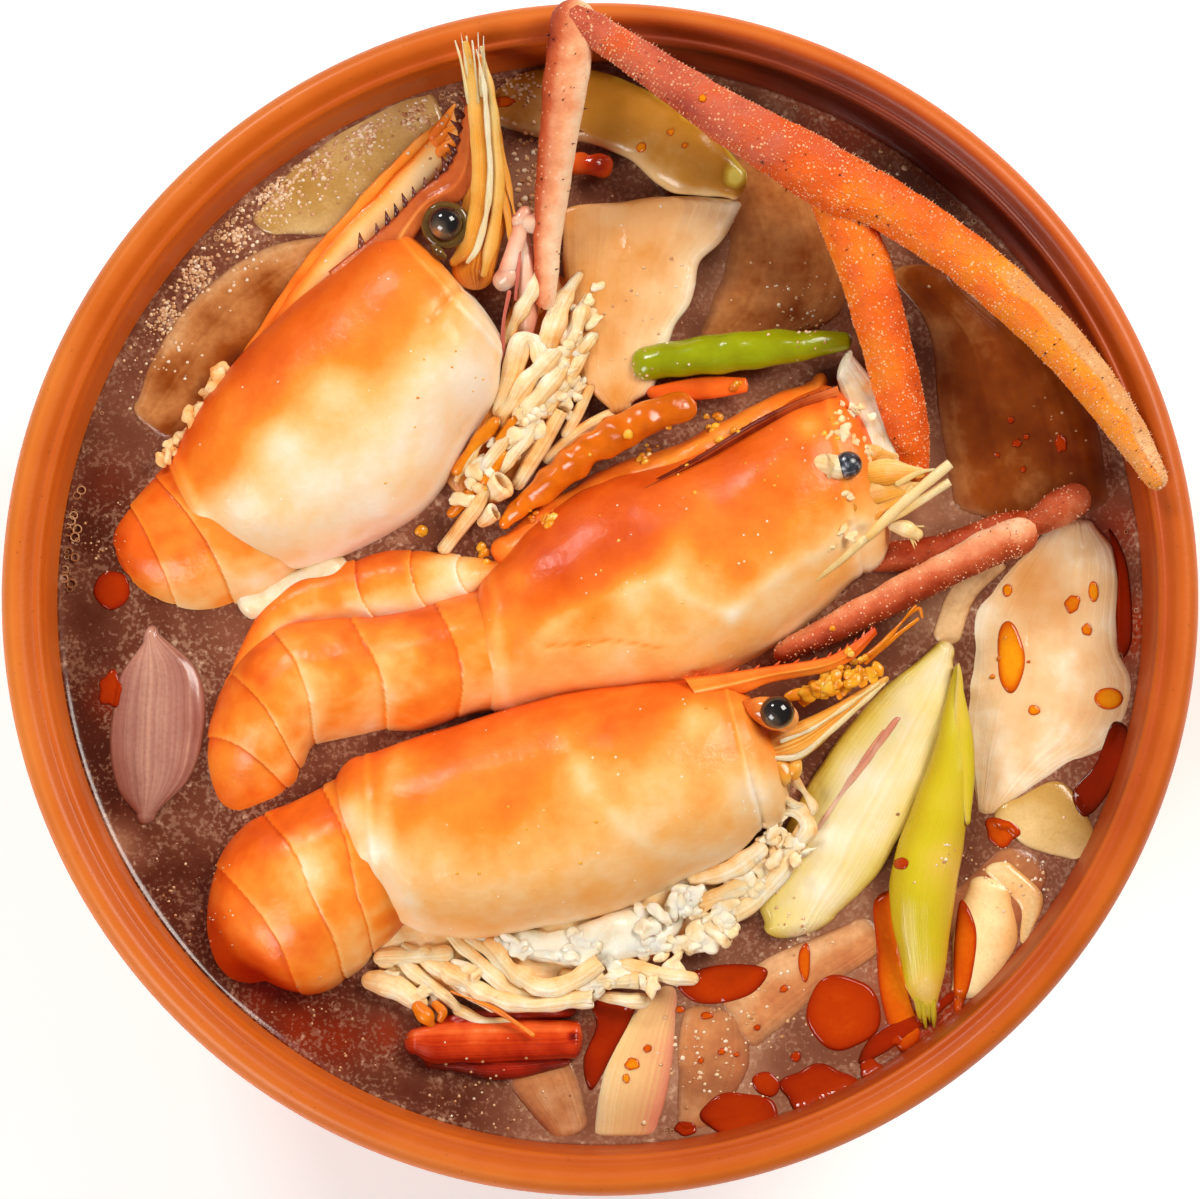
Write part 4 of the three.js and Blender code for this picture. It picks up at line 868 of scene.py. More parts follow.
# The first prawn lies at the upper left, its head to the far side.
settle(head_shell(
    "first_head_shell", body(
        [[-73, 24], [-68, 33], [-60.5, 42.5], [-51, 50.5], [-44, 56.5], [-39, 60.5], [-34.5, 61.5]],
        [[-65.5, 6.5], [-52.5, 5], [-40, 9], [-29, 16], [-22, 27], [-17.5, 34], [-16.5, 41.5]],
        [60, 61, 62, 63, 64, 65, 66], [9, 13, 15.5, 16.5, 16, 14.5, 11], [-71, 16.5, 60],
        [-24.2, 54, 66],
        [9, 12, 13, 13, 13, 12, 9],
    ), [0.2, 0.4, 0.62, 0.9, 0.9],
    [
        [-48, 45, 8, 0.4], [-37, 52, 8, 0.4], [-62, 31, 6, 0.42], [-36, 44, 6, 0.5],
        [-26, 47, 4, 0.74], [-28, 29, 9, 0.92], [-40, 15, 9, 0.97], [-50, 11, 7, 0.9],
        # The palest spots, at [-52, 24] and [-60, 14], are partly the belly's cream and partly a
        # painted highlight of the shell's wet glare.
        [-52, 24, 6, 1.0], [-60, 14, 6, 0.86], [-44, 33, 6, 0.8], [-32, 57, 4, 0.42],
        [-21, 36, 6, 0.97], [-45, 20, 5, 0.94], [-66, 22, 4, 0.52], [-30, 52, 4, 0.52],
    ],
    11,
    [([[-23, 51.5], [-28, 45]], 0.5, 0.5, -0.1)],
), boiled_shell, "shell", "prawn_1_carapace")
settle(ringed_tail(
    "first_ringed_tail", body(
        [[-68, 26], [-74.5, 23], [-79, 20], [-84, 15.5], [-86, 10.5]],
        [[-48, 7], [-57, 0.5], [-67.5, -3], [-75, -2.5], [-81, 0.5]],
        [60, 58, 56.5, 54.5, 52], [11, 11.5, 10.5, 9.5, 8.6], [-55, 18, 60], [-84.5, 5, 49],
        [10, 9, 8, 7, 6],
    ), [0.33, 0.6, 0.85],
    [0.3, 0.42, 0.48, 0.58, 0.74],
    [[-84, 10, 7, 0.22], [-60, 0, 6, 0.8], [-66, 1, 5, 0.66], [-70, 14, 4, 0.5]], 21, bow=0.05,
), ringed_shell, "shell", "prawn_1_abdomen")
crest(
    "first_crest",
    [[-46, 55], [-38.4, 60.9], [-34.3, 64.4], [-30.8, 68], [-26.4, 71.3], [-24.4, 74.4], [-23.4, 79],
     [-22.4, 84]],
    [[-41, 48], [-34, 54.5], [-31.3, 60.4], [-28, 64.8], [-23.6, 66.4], [-21.3, 70], [-20.8, 75.5],
     [-21, 83]],
    69.5, 76.5, 15, 2.4, 1.0, [0.5, 0.4, 0.36, 0.42, 0.4], 31, (rosy_crest, crest_tooth),
    lean=0.5, first=0.1,
)
settle(eyeball("first_eye", [-26, 62.5, 74.5], 2.9, 0.5), black_eye, "eye", "prawn_1_eye")

settle(lumps("first_hind_tissue", torn([
    [-63.5, 38.5, -66, 35, 66, 0.6, 7, 1.7, 50], [-67.5, 32, -69, 29.6, 66, 0.5, 6, 1.6, 60],
    [-71.6, 26.8, -73.6, 23.6, 65, 0.6, 7, 1.5, 70], [-64, 38, -73, 24, 64.4, 0.3, 12, 1.5, 57],
], 3), 0.5, 0.3, 3, fine=3), leg_shell, "shell")
# The second prawn lies across the middle, its head to the right.
settle(head_shell(
    "second_head_shell", body(
        [[-19, 3.5], [-12, 11.5], [-2, 19], [7, 22], [16.5, 25], [25, 29.5], [32.5, 34], [38.5, 36]],
        [[-17, -19], [-6.5, -17.5], [4.5, -16.5], [15.5, -15.5], [24, -11.5], [32.5, -6], [39, -0.5],
         [44.5, 4.5]],
        [61.5, 62, 62, 62, 62, 62.5, 63, 63.5], [12.5, 14, 15, 15.5, 15.5, 15, 13.5, 11],
        [-21, -8, 61.5],
        [48.5, 20, 64], [11, 12, 12, 12, 12, 12, 11, 9],
    ), [0.24, 0.32, 0.48, 0.68, 0.74],
    [
        [-7, 5, 7, 0.26], [4, 11, 8, 0.24], [18, 14, 7, 0.48], [29, 20, 6, 0.44],
        [-7, -10, 6, 0.66], [14, 2, 6, 0.75], [6, -1, 4, 0.74], [17, -8, 6, 0.74],
        [28, -3, 7, 0.8], [0, -14, 5, 0.7], [41, 8, 5, 0.74], [23, 4, 5, 0.5],
        [-16, -7, 3, 0.58], [34, 11, 4, 0.58], [35, 28, 3, 0.58], [-14, 2, 4, 0.5],
    ],
    12,
    [
        ([[-9, -6.5], [-3.2, -2.7], [4.5, 0.4], [10.3, 1.9], [14.1, -0.4], [21.8, -3.8]], 0.9,
         -0.12, 0.1),
        ([[14.1, 9.3], [12.4, 5], [10.3, 1.9]], 1.6, -0.1, 0.08),
        ([[21.8, -3.8], [25.6, 0], [31.4, 3.9], [37.2, 7], [43.6, 11.6]], 1.1, -0.12, 0.12),
        ([[-9, -8.9], [-3.2, -8.5], [2.6, -8.1], [10.3, -9.2]], 0.2, 0.12, -0.14),
    ],
), boiled_shell, "shell", "prawn_2_carapace")
settle(ringed_tail(
    "second_ringed_tail", body(
        [[-12, 5], [-22, 1], [-34.5, -2.5], [-46, -3], [-56, -6], [-63, -13], [-67, -23.5],
         [-67.5, -32.5]],
        [[-12, -18.5], [-19.5, -19], [-29, -22], [-39, -22.5], [-48, -25], [-50.5, -29],
         [-52.5, -32.5],
         [-57.5, -36.5]],
        [61.5, 61.5, 61, 60.5, 60, 59.5, 57.5, 54], [12, 12.5, 12.5, 12.5, 12.5, 12, 11, 9],
        [-6, -7, 61.5],
        [-63.5, -40, 50], 10,
    ), [0.2, 0.37, 0.55, 0.7, 0.84],
    [0.36, 0.46, 0.54, 0.62, 0.66],
    # Painted highlight: the pale spot at [-48, -15] marks the shine on the top of the tail.
    [[-66, -34, 6, 0.26], [-48, -15, 6, 0.74], [-30, -20, 5, 0.6], [-61, -19, 5, 0.46],
     [-34, -8, 4, 0.48], [-50, -25, 5, 0.7], [-64, -27, 4, 0.5], [-18, -8, 3, 0.68]], 22,
), ringed_shell, "shell", "prawn_2_abdomen")
crest(
    "second_crest", [[6, 18], [15.3, 22.8], [24.9, 28.8], [32.9, 32.8], [40, 35.4]],
    [[6.6, 16.6], [15.8, 21.4], [25.6, 27.2], [33.6, 31.4], [40.4, 33.8]],
    70.6, 70.8, 26, 0.8, 1.1, [0.0, 0.0, 0.1, 0.5], 32, (rosy_crest, crest_tooth), lean=1.8,
)
settle(eyeball("second_eye", [41.5, 21.5, 75.2], 2.4), silver_eye, "eye", "prawn_2_eye")

# The third prawn lies nearest, its head to the right.
settle(head_shell(
    "third_head_shell", body(
        [[-40, -27], [-34, -24.5], [-25.5, -21.5], [-13.5, -18], [-1.5, -15.5], [8.5, -14], [17, -13],
         [21, -13]],
        [[-38, -52], [-31, -56], [-22, -57.5], [-10, -56], [2.5, -53], [13.5, -48], [23, -43],
         [27, -38.5]],
        [63, 63.5, 63.5, 63.5, 63.5, 64, 64.5, 65], [13, 15, 16, 16.5, 16.5, 15.5, 13.5, 11.5],
        [-45.5, -39.5, 63], [31, -28, 65], [11, 12, 12, 12, 12, 12, 11, 9],
    ), [0.28, 0.44, 0.58, 0.72, 0.76],
    [
        [-17, -30, 8, 0.5], [-4, -24, 7, 0.5], [-24, -38, 6, 0.54], [-33, -30, 5, 0.58],
        [-28, -49, 6, 0.76], [-10, -49, 9, 0.78], [10, -33, 7, 0.76], [17, -22, 5, 0.72],
        [-37, -43, 4, 0.88], [-42, -38, 4, 0.78], [-8, -37, 6, 0.58], [25, -20, 3, 0.5],
        [4, -17, 5, 0.42], [14, -44, 6, 0.8], [24, -33, 5, 0.86], [-34, -50, 4, 0.82],
        [-2, -30, 4, 0.68], [6, -39, 5, 0.8],
    ],
    13,
    [
        ([[-6, -24], [-3, -31], [3, -38], [12, -43.5], [22, -43]], 1.2, -0.1, 0.1),
        ([[-34, -25], [-36, -35], [-35.5, -45], [-30, -54]], 1.3, -0.1, 0.1),
    ],
), boiled_shell, "shell", "prawn_3_carapace")
settle(ringed_tail(
    "third_ringed_tail", body(
        [[-33, -26], [-43, -30], [-52, -34.5], [-60, -38.5], [-65, -46], [-66.5, -55.5], [-65, -66],
         [-55, -76], [-42, -79.5], [-32, -80]],
        [[-33, -55.5], [-37, -58.5], [-40, -62], [-44.5, -65.5], [-50.5, -67], [-55.5, -65],
         [-54, -66],
         [-49, -68], [-41, -70], [-32, -72]],
        [62, 62, 62, 61.5, 60.5, 58, 55.5, 55, 55, 57], [12.5, 13, 13, 12.5, 11, 9, 5.8, 5, 5, 4],
        [-28, -40, 62], [-30.5, -76, 57.5], [10, 10, 10, 10, 9, 8, 6, 5, 5, 4],
    ), [0.14, 0.27, 0.42, 0.78],
    [0.32, 0.42, 0.5, 0.54, 0.66],
    # Painted highlight: the pale spot at [-47, -46] marks the shine on the tail.
    [[-60, -64, 6, 0.26], [-50, -76, 12, 0.1], [-40, -60, 5, 0.74], [-47, -46, 6, 0.76],
     [-62, -52, 6, 0.42], [-51, -57, 5, 0.48], [-43, -33, 4, 0.5]], 23,
), ringed_shell, "shell", "prawn_3_abdomen")
crest(
    "third_crest", [[14, -13.9], [19.1, -13.4], [28.7, -12], [37.5, -10.6], [42, -8.4], [46, -5.4]],
    [[17, -18.5], [24.6, -16.4], [28.7, -14.8], [37.5, -13.1], [42.5, -10.8], [46.5, -6.6]],
    71.5, 71.5, 15, 1.4, 1.1, [0.42, 0.5, 0.45, 0.2], 33, (boiled_shell, red_tooth), lean=1.2,
)
settle(eyeball("third_eye", [29.5, -20, 76], 2.9, 0.3), black_eye, "eye", "prawn_3_eye")

# ------------------------------------------------------------------ back shells, plates, blades
settle(join("first_back_shell", [
    slab("shell", body(
        [[-26, 81.8], [-31.2, 76.8], [-41.8, 65.9], [-52.5, 53.2], [-60.5, 40.5]],
        [[-24, 78.5], [-27, 73], [-35.5, 63.5], [-45, 54], [-52, 44]],
        [67, 65.4, 64.4, 63.4, 61.5], [1.0, 2.0, 2.4, 2.6, 2], [-24.8, 83, 67], [-58, 38, 61],
    ), [0.3, 0.46, 0.74, 0.8, 0.72], seed=41, spots=[[-58, 42, 7, 0.4], [-26, 79, 3, 0.7]]),
    limbs("torn_tips", [
        [[-28.4, 78.6, 67.6, 1.0], [-26.4, 81.2, 68, 0.8], [-24.7, 83.8, 68.4, 0.25]],
        [[-27.6, 77.6, 67.6, 1.0], [-25.6, 79.6, 68, 0.7], [-23.6, 80.4, 68.2, 0.2]],
        [[-27, 76, 67.4, 1.1], [-25, 77.4, 67.8, 0.8], [-23, 78.4, 68, 0.25]],
        [[-60, 42, 63, 0.9], [-50, 56.4, 65.4, 0.9], [-40.6, 67.2, 66.6, 0.9],
         [-31, 77.2, 67.4, 0.8], [-27, 81, 67.6, 0.4]],
    ], (0.42, 0.6), seed=43, lump=0.14, rows=60, sides=12, flat=0.6),
]), boiled_shell, "shell", "prawn_1_back_shell")
settle(slab("second_back_shell", body(
    [[-16, 10.5], [-2, 20.5], [13.5, 27], [27.5, 33.5], [36, 37.5]],
    [[-12, 3], [0, 12], [14, 18], [28, 25], [37, 30]],
    62, [4, 5, 6, 6, 4], [-18, 7, 62], [39, 37, 62], 5,
), [0.4, 0.5, 0.34, 0.12], seed=42, square=2.2, lump=0.5,
    spots=[[12, 22, 4, 0.6], [24, 29, 4, 0.55], [2, 16, 4, 0.3]]),
       ringed_shell, "shell", "prawn_2_back_shell")
settle(slab("second_head_plate", body(
    [[40, 37], [42, 30], [44, 22]], [[43, 41], [49.5, 32], [51.5, 21]],
    67.5, [1.5, 2.5, 2], [41.5, 41.5, 66], [48, 18, 66],
), [0.9, 1.0, 0.95], seed=43, spots=[[45, 35, 1.2, 0.5], [47.6, 27, 2, 0.8]]),
       leg_shell, "shell_pale", "prawn_2_head_plate")
settle(ringed_tail("second_curled_tail", body(
    [[-63.5, -13], [-57.5, -2], [-50, 4], [-42.5, 6.5], [-35, 8.5], [-27.5, 8], [-18, 6.5]],
    [[-61, -15], [-54, -6], [-47, -5], [-38, -5], [-31, -4], [-24, -2], [-17, 1]],
    61, [2, 3, 4, 5, 5.5, 5, 3], [-64, -16, 61], [-14, 5, 61],
), [0.5, 0.72, 0.9], [0.4, 0.5, 0.6, 0.76, 0.9],
    [[-24, 5, 6, 0.84], [-34, 6, 5, 0.4], [-45, 4, 5, 0.42]], 24),
       ringed_shell, "shell", "prawn_2_curled_tail")
blades = slab("first_head_blades", body(
    [[-25, 55], [-23.2, 66.5], [-22, 80.5], [-23, 89]],
    [[-18, 55], [-15.6, 66.5], [-17, 80.5], [-19.5, 89]],
    [70, 73, 76.5, 79], [1.5, 1.2, 0.8, 0.5], [-21, 52, 69], [-21.5, 91, 79.6],
), [0.3, 0.4, 0.3, 0.45], seed=44, square=2.4)


def strip(points, lift, radius):
    """A strip of a head blade over [x, y] points, which rises towards its tip."""
    widths = np.interp(np.linspace(0, 1, len(points)), [0, 0.12, 0.7, 1], [0.5, 1, 0.9, 0.3])
    return [
        [x, y, 71 + 0.27 * (y - 55) + lift, radius * w] for (x, y), w in zip(points[::-1], widths)
    ]


BROAD = [[-22.4, 91.5], [-21.4, 86.2], [-20.6, 79.8], [-20.1, 74.7], [-20, 69.5], [-20.5, 64.4],
         [-21.8, 59.3], [-24.6, 56.2]]
RIDGE = [[-20.6, 90.3], [-19.4, 84.9], [-18.8, 77.2], [-18.4, 70.8], [-19, 64.4], [-20.6, 58.5],
         [-22.3, 56]]
OUTER = [[-19.8, 90.8], [-18.2, 83.6], [-17.6, 77.2], [-17, 70.8], [-17.4, 64.4], [-18.6, 58],
         [-19.6, 54.2]]
SPEAR = [[-19, 84.9], [-17.9, 81.1], [-16.5, 74.7], [-15.2, 68.2], [-14.4, 64.1]]
INNER = [[-17.7, 74.7], [-16.5, 68.2], [-15.4, 63.1], [-15, 59]]
blades = join("first_head_blades", [
    blades,
    limbs("broad", [strip(BROAD, 0.8, 1.7)], (0.45, 0.6), (0.1, -0.1), flat=0.5, rows=80, sides=24),
    limbs("ridge", [strip(RIDGE, 1.9, 0.55)], (0.9, 1.0), rows=80),
    limbs("outer", [strip(OUTER, 1.0, 1.1)], (0.55, 0.75), (0.15, -0.1), flat=0.6, rows=80),
    limbs("spear", [strip(SPEAR, 1.0, 0.45), strip(INNER, 0.5, 0.65)], (0.5, 0.4), rows=60),
    limbs("frayed", [
        [[-22 + 0.55 * i, 82 + 1.2 * (i % 3), 79.3 + 0.1 * i, 0.3],
         [-23.2 + 0.75 * i, 88.5, 81, 0.22],
         [-24.2 + 0.95 * i, 92 + 0.7 * ((i * 5) % 3), 81.6 + 0.2 * (i % 2), 0.12]]
        for i in range(6)
    ], (0.8, 1.0), rows=24, sides=8),
])
settle(blades, thin_blade, "shell_pale", "prawn_1_antenna_scale")
settle(limbs("first_feeler_stalk", [
    [[-16.4, 53, 70.5, 1.6], [-15, 56.7, 72, 1.5], [-13.7, 60.5, 73, 1.35],
     [-13.2, 63.6, 73.4, 1.25]],
    [[-13.5, 63, 73.4, 1.5], [-12.7, 64.3, 73.6, 1.3]],
    [[-12.6, 62.8, 73, 1.7], [-10.6, 62.6, 73, 1.75], [-8.8, 62.3, 73, 1.6]],
    [[-9, 60.8, 73.2, 0.35], [-8.6, 62.4, 74, 0.35], [-9, 64, 73.2, 0.35]],
    [[-16.3, 53.4, 70.5, 1.9], [-15.6, 54.2, 71, 1.9]],
    [[-13.2, 61, 71, 1.2], [-12.4, 55, 70.5, 1.7], [-12, 49, 69, 1.6], [-12.6, 44, 67.5, 1.2]],
], (0.75, 0.6), (-0.12, 0.1, 0.15), seed=3, rows=36, sides=20), rosy_shell, "shell_pale")
settle(limbs("first_long_feeler", [
    [[-16.5, 39, 67.5, 0.3], [-16.3, 45.7, 71, 0.42], [-15.3, 51, 72.4, 0.38]],
    [[-14.3, 64, 74, 0.5], [-13.6, 58, 73, 0.4], [-14.3, 50, 71.4, 0.3]],
], 0.3, seed=4, rows=40, sides=8), rosy_shell, "shell_pale")
settle(limbs("first_eye_rim", [
    [[-26 + 3.3 * math.cos(a), 62.3 + 3.3 * math.sin(a), 73.4 + 0.5 * math.sin(a), 0.75]
     for a in np.linspace(0.2, 0.2 + TURN, 17)],
    [[-28.2, 58.9, 73, 0.5], [-27.2, 57.6, 73.3, 0.95], [-26.4, 57, 73.2, 0.6]],
], 0.4, (0.1, -0.1), seed=5, rows=80, sides=14), eye_rim, "eye")
settle(join("second_head_blades", [
    slab("blade", body(
        [[40, 17], [46, 19.6], [52.6, 20.4]], [[42, 7], [47.5, 12.5], [53.4, 18]],
        [66, 67.5, 69.4], [4.4, 3.6, 1], [38, 10, 65], [54, 19.4, 69.6],
    ), [0.3, 0.55, 0.4, 0.7, 0.5], seed=45, square=2.4, lump=0.3),
    limbs("orange_strips", [
        [[37, 19, 73.4, 2.2], [43.6, 19.8, 73, 2.4], [49, 20.4, 72.4, 2.0], [53.6, 20.4, 72, 0.9]],
        [[38, 14.6, 74, 2.2], [43.2, 16.2, 72.8, 2.3], [48.4, 17.6, 72, 1.8],
         [53.8, 18.4, 71.6, 0.8]],
        [[37, 10.4, 73.6, 2.0], [43.2, 13.2, 72.2, 2.2], [48, 15.6, 71.4, 1.5],
         [52.2, 17.2, 71.2, 0.7]],
        [[40, 24, 71.6, 1.6], [45, 24, 71.6, 1.8], [49.6, 23.4, 71.4, 0.8]],
    ], (0.3, 0.66), (0.2, 0, -0.1), seed=46, lump=0.4, rows=60, sides=24, flat=0.32),
    limbs("cream_feelers", [
        [[42, 7.4, 71, 0.8], [45.4, 10.2, 71.4, 0.9], [49.4, 14, 71.8, 0.95], [54.2, 18.2, 72, 0.95],
         [58.8, 22, 72.2, 0.85]],
        [[48.6, 12.6, 70.6, 0.6], [52.6, 15, 71, 0.8], [55.4, 16.8, 71.2, 0.85],
         [58.8, 19, 71.4, 0.8]],
        [[36, 2.6, 72, 0.8], [40.4, 6, 71.6, 0.9], [44.4, 9.4, 71.4, 0.8]],
        [[50, 18.6, 72.6, 0.5], [53.4, 20.4, 72.8, 0.45], [56, 21, 72.6, 0.2]],
    ], (0.75, 0.9), seed=47, lump=0.08, hollow=(0, 1), rows=50, sides=16),
    limbs("brush", [
        [[49.4, 11.8, 69.4, 0.9], [51.6, 11.2, 69.8, 1.5], [53.4, 10.4, 69.6, 1.1]],
        *[[[52.4, 11.6 - 0.5 * i, 69.8, 0.2], [54.2 - 0.3 * i, 10.6 - 0.7 * i, 69.6, 0.1]]
          for i in range(5)],
        [[52.6, 11.6, 70, 0.16], [54.4, 11.6, 70.4, 0.08]],
    ], 0.85, seed=48, rows=24, sides=10),
]), thin_blade, "shell_pale", "prawn_2_antenna_scale")
settle(limbs("second_eye_stalk", [
    [[34.6, 21.8, 73.6, 1.7], [37, 21.6, 74.4, 2.0], [39.6, 21, 75, 2.1]],
    [[34.4, 23.6, 74, 0.5], [33.6, 21.8, 74.6, 0.7], [34.8, 19.8, 74.2, 0.5]],
    [[37.6, 23.6, 74.8, 0.3], [38.6, 21.4, 77.2, 0.3], [38, 18.6, 75, 0.3]],
], (0.55, 0.75), seed=49, rows=30, sides=20), leg_shell, "shell_pale")
settle(lumps("second_face_flakes", torn([
    [34.6, 24.4, 41, 26.8, 73.8, 0.5, 12, 1.2, 25], [41.6, 27.4, 45, 22.6, 72.4, 0.6, 12, 1.1, 70],
    [37, 16.8, 42, 16.6, 74.4, 0.5, 9, 0.9, 0], [35, 9.6, 43, 10.6, 74, 1.0, 9, 1.3, 40],
    [41, 32, 44.5, 30, 71.6, 0.7, 7, 0.9, 60],
], 13), 0.66, 0.3, 13, fine=3), leg_shell, "shell_pale")
settle(join("third_head_blades", [
    slab("blade", body(
        [[27, -23], [33, -21.4], [40, -18], [47.3, -14]],
        [[29, -29.6], [34.2, -27.4], [40.5, -21.8], [47.5, -15.2]],
        [68, 69.5, 70, 70.4], [3.0, 2.6, 2.0, 1.0], [25, -27, 67], [48.4, -14, 70.5],
    ), [0.45, 0.6, 0.5, 0.6, 0.75], seed=46, square=2.4, lump=0.12),
    # Painted highlight: these raised lines are painted pale where the scale's shine runs along them.
    limbs("painted_highlight_ridges", [
        [[28.8, -27.6, 71.6, 0.45], [33.4, -27, 72, 0.5], [38, -23.4, 72.3, 0.5],
         [43, -19, 72, 0.45], [47.6, -15, 71.5, 0.3]],
        [[30.4, -24.6, 72, 0.35], [35, -22.8, 72.4, 0.35], [40, -19.6, 72.4, 0.35],
         [46.6, -15, 71.6, 0.25]],
    ], (0.95, 0.8), seed=47, rows=60, sides=12),
    lumps("yellow_lobe", [
        [30.2, -29.8, 70.6, 2.6, 2.0, 1.6, -60], [32.6, -29.2, 70.8, 1.3, 1.9, 1.3, -20],
        [26.6, -30.4, 71.4, 1.6, 1.0, 0.8, 60],
    ], 0.5, 0.08, 15),
]), thin_blade, "shell_pale", "prawn_3_antenna_scale")
settle(join("third_head_tissue", [
    lumps("tissue", torn([
        [33.5, -16.4, 46.5, -12.8, 71.2, 0.6, 30, 1.5, 14],
        [34, -17.6, 42, -15.6, 70.8, 0.4, 10, 1.2, 18],
    ], 17), 0.55, 0.18, 17, fine=3),
    limbs("feelers", [
        [[43.6, -11.2, 71.6, 0.4], [47.8, -7.8, 71.8, 0.42], [52.9, -2, 72, 0.34]],
        [[44.6, -11.4, 71.4, 0.4], [48.8, -7.6, 71.6, 0.42], [53.2, -4.2, 71.8, 0.36]],
        [[51.4, -3.8, 71.8, 0.3], [53.4, -2.4, 71.8, 0.4], [54, -3.8, 71.6, 0.3]],
    ], (0.15, 0.3), seed=50, rows=40, sides=10),
]), crumb, "shell")
settle(limbs("third_eye_cup", [
    [[24.6, -18.6, 73, 1.0], [26.6, -19.4, 74.2, 2.2], [29.2, -20.2, 74.2, 2.7],
     [30.8, -20.8, 73.8, 2.4]],
], (0.3, 0.6), (0.1, 0, -0.1), seed=51, rows=40, sides=28), peach_cup, "eye")
settle(join("third_tail_fan", [
    slab(lobe, body(
        left, right,
        level, rise, [*start, level - 1], [*end, level], 3,
    ), tones, seed=seed, spots=[[-4.5, -74, 0.9, 0.0]], square=2.4, rows=70)
    for lobe, left, right, start, end, level, rise, tones, seed in (
        ("upper", [[-30, -72], [-20, -68.8], [-8, -68.4]], [[-30, -76], [-19, -72.6], [-6, -71]],
         [-32, -74], [-4.2, -69.4], 62, 2.2, [0.1, 0.3, 0.24], 46),
        ("main", [[-31, -72.6], [-26.5, -71.4], [-14, -71], [-4, -71.4]],
         [[-31, -77], [-27, -78.6], [-14, -78.4], [-4.4, -77.6]], [-33, -75], [-3, -74.4], 63,
         2.9, [0.5, 0.78, 0.5, 0.4, 0.2], 47),
        ("lower", [[-29, -77], [-16, -77.4], [-5, -76.8]], [[-28, -79.6], [-16, -81.4], [-6, -79.4]],
         [-30, -78.4], [-4.4, -78], 62, 1.8, [0.3, 0.16, 0.06], 48),
    )
]), red_fan, "red_shell", "prawn_3_tail_fan")

# ------------------------------------------------------------------ legs
bed = slab("first_leg_bed", body(
    [[-14, 53], [-18, 42], [-22, 32], [-27, 22]], [[-3, 52], [-3.5, 42], [-8, 30], [-16, 18]],
    [64, 63, 62.5, 62], [1.5, 2.4, 2.4, 1.5], [-7, 55, 64], [-22, 16, 61.5], 3,
), [0.25, 0.4, 0.3, 0.35], seed=51, lump=0.6)
cream_legs = limbs("cream", [
    [[-17, 31.5, 66, 1.5], [-14.8, 38, 68.3, 1.7], [-13, 43.2, 69.6, 1.6], [-11, 43, 69.6, 1.5],
     [-9.8, 39.6, 69, 1.4]],
    [[-16.3, 30.4, 66.5, 1.3], [-13.2, 35, 68.8, 1.5], [-9.9, 38.6, 69.6, 1.55],
     [-7.4, 41.4, 69, 1.3]],
    [[-13.8, 29.6, 67, 1.3], [-10.6, 33.4, 68.8, 1.6], [-7.6, 37, 69.2, 1.4], [-6, 39.6, 68.4, 1.1]],
    [[-9.4, 40.4, 68, 1.6], [-8.1, 45.6, 69.4, 2.1], [-6.2, 50.2, 69, 1.5], [-3.5, 54.6, 68, 0.5]],
    [[-6.6, 39, 67, 1.5], [-4.6, 44, 68, 1.7], [-3.3, 48, 68, 1.4], [-2.5, 51.4, 67.4, 0.7]],
    [[-11, 31, 67, 1.4], [-8.4, 33.2, 68, 1.5], [-5.8, 36.6, 68.2, 1.6], [-3.6, 39.8, 67.6, 1.3],
     [-2.2, 41.6, 67, 0.8]],
    [[-24.4, 20, 65.6, 0.7], [-20.9, 25.4, 67.2, 0.8], [-17.4, 29.5, 67.8, 0.7]],
    [[-22, 19, 65.6, 0.8], [-18.8, 23, 67.2, 0.9], [-14.8, 28, 68, 0.8]],
    [[-18.6, 19.5, 65.8, 0.9], [-15.6, 22.6, 67, 1.0], [-12.4, 27, 67.6, 1.1], [-10.4, 31, 68, 0.9]],
    [[-16, 42.8, 68.8, 0.9], [-13.4, 48, 70.4, 1.1], [-10.8, 53, 71.4, 1.1], [-9.4, 57.6, 72, 0.9]],
    [[-3.4, 46, 67.4, 0.9], [-2.2, 47.6, 67.4, 1.1], [-1.2, 48.4, 67, 0.8]],
    [[-3, 41.8, 67.2, 1.0], [-1.6, 43.8, 67.2, 1.1], [-0.8, 44.4, 66.8, 0.7]],
    [[-19.4, 17, 64, 1.7], [-17.8, 18.2, 66, 2.2], [-16.4, 19.2, 68, 2.4]],
    [[-19.8, 13, 64.4, 1.1], [-18.6, 13.8, 65.6, 1.4], [-17.8, 14.3, 66.8, 1.5]],
], (0.6, 0.85, 0.8), (0.05, 0, -0.3), hollow=(12, 13), seed=51, lump=0.34, rows=60, sides=24,
    flat=0.62)
rosy_legs = limbs("rosy", [
    [[-13.8, 19.6, 64.8, 1.3], [-11.4, 23.4, 66, 1.4], [-9, 27.2, 66.8, 1.4],
     [-6.7, 31.6, 67.2, 1.3]],
    [[-8.7, 23.8, 64, 1.1], [-4, 27.8, 65, 1.2], [0.5, 30.4, 65.4, 1.2], [2.8, 31.6, 65, 0.9]],
    [[-5.7, 28, 65, 1.0], [-3.4, 32, 66, 1.0], [-1.7, 35.4, 66.4, 0.8]],
    [[-26.4, 8.6, 63.4, 1.2], [-23.6, 12, 65, 1.3], [-21, 15.2, 66, 1.3], [-19.4, 18, 66.5, 1.1]],
], (0.62, 0.5), (-0.15, 0.05, 0.1), hollow=(0,), seed=55, lump=0.05, rows=40, sides=20)
scraps = lumps("scraps", torn([
    [-24, 17, -14, 28, 66.6, 1.3, 16, 1.7, 50], [-15, 27, -6, 37, 67.8, 1.6, 24, 2.0, 52],
    [-9, 36, -3.5, 45, 68.2, 1.3, 18, 2.0, 62], [-5, 44, -1.5, 52, 67.4, 1.0, 12, 1.6, 70],
    [-12, 26, -3, 36, 66.4, 1.2, 16, 1.5, 50],
], 7), 0.76, 0.3, 7, fine=3)
settle(join("first_legs", [bed, cream_legs, rosy_legs, scraps]), leg_shell, "leg_meat",
       "prawn_1_legs")
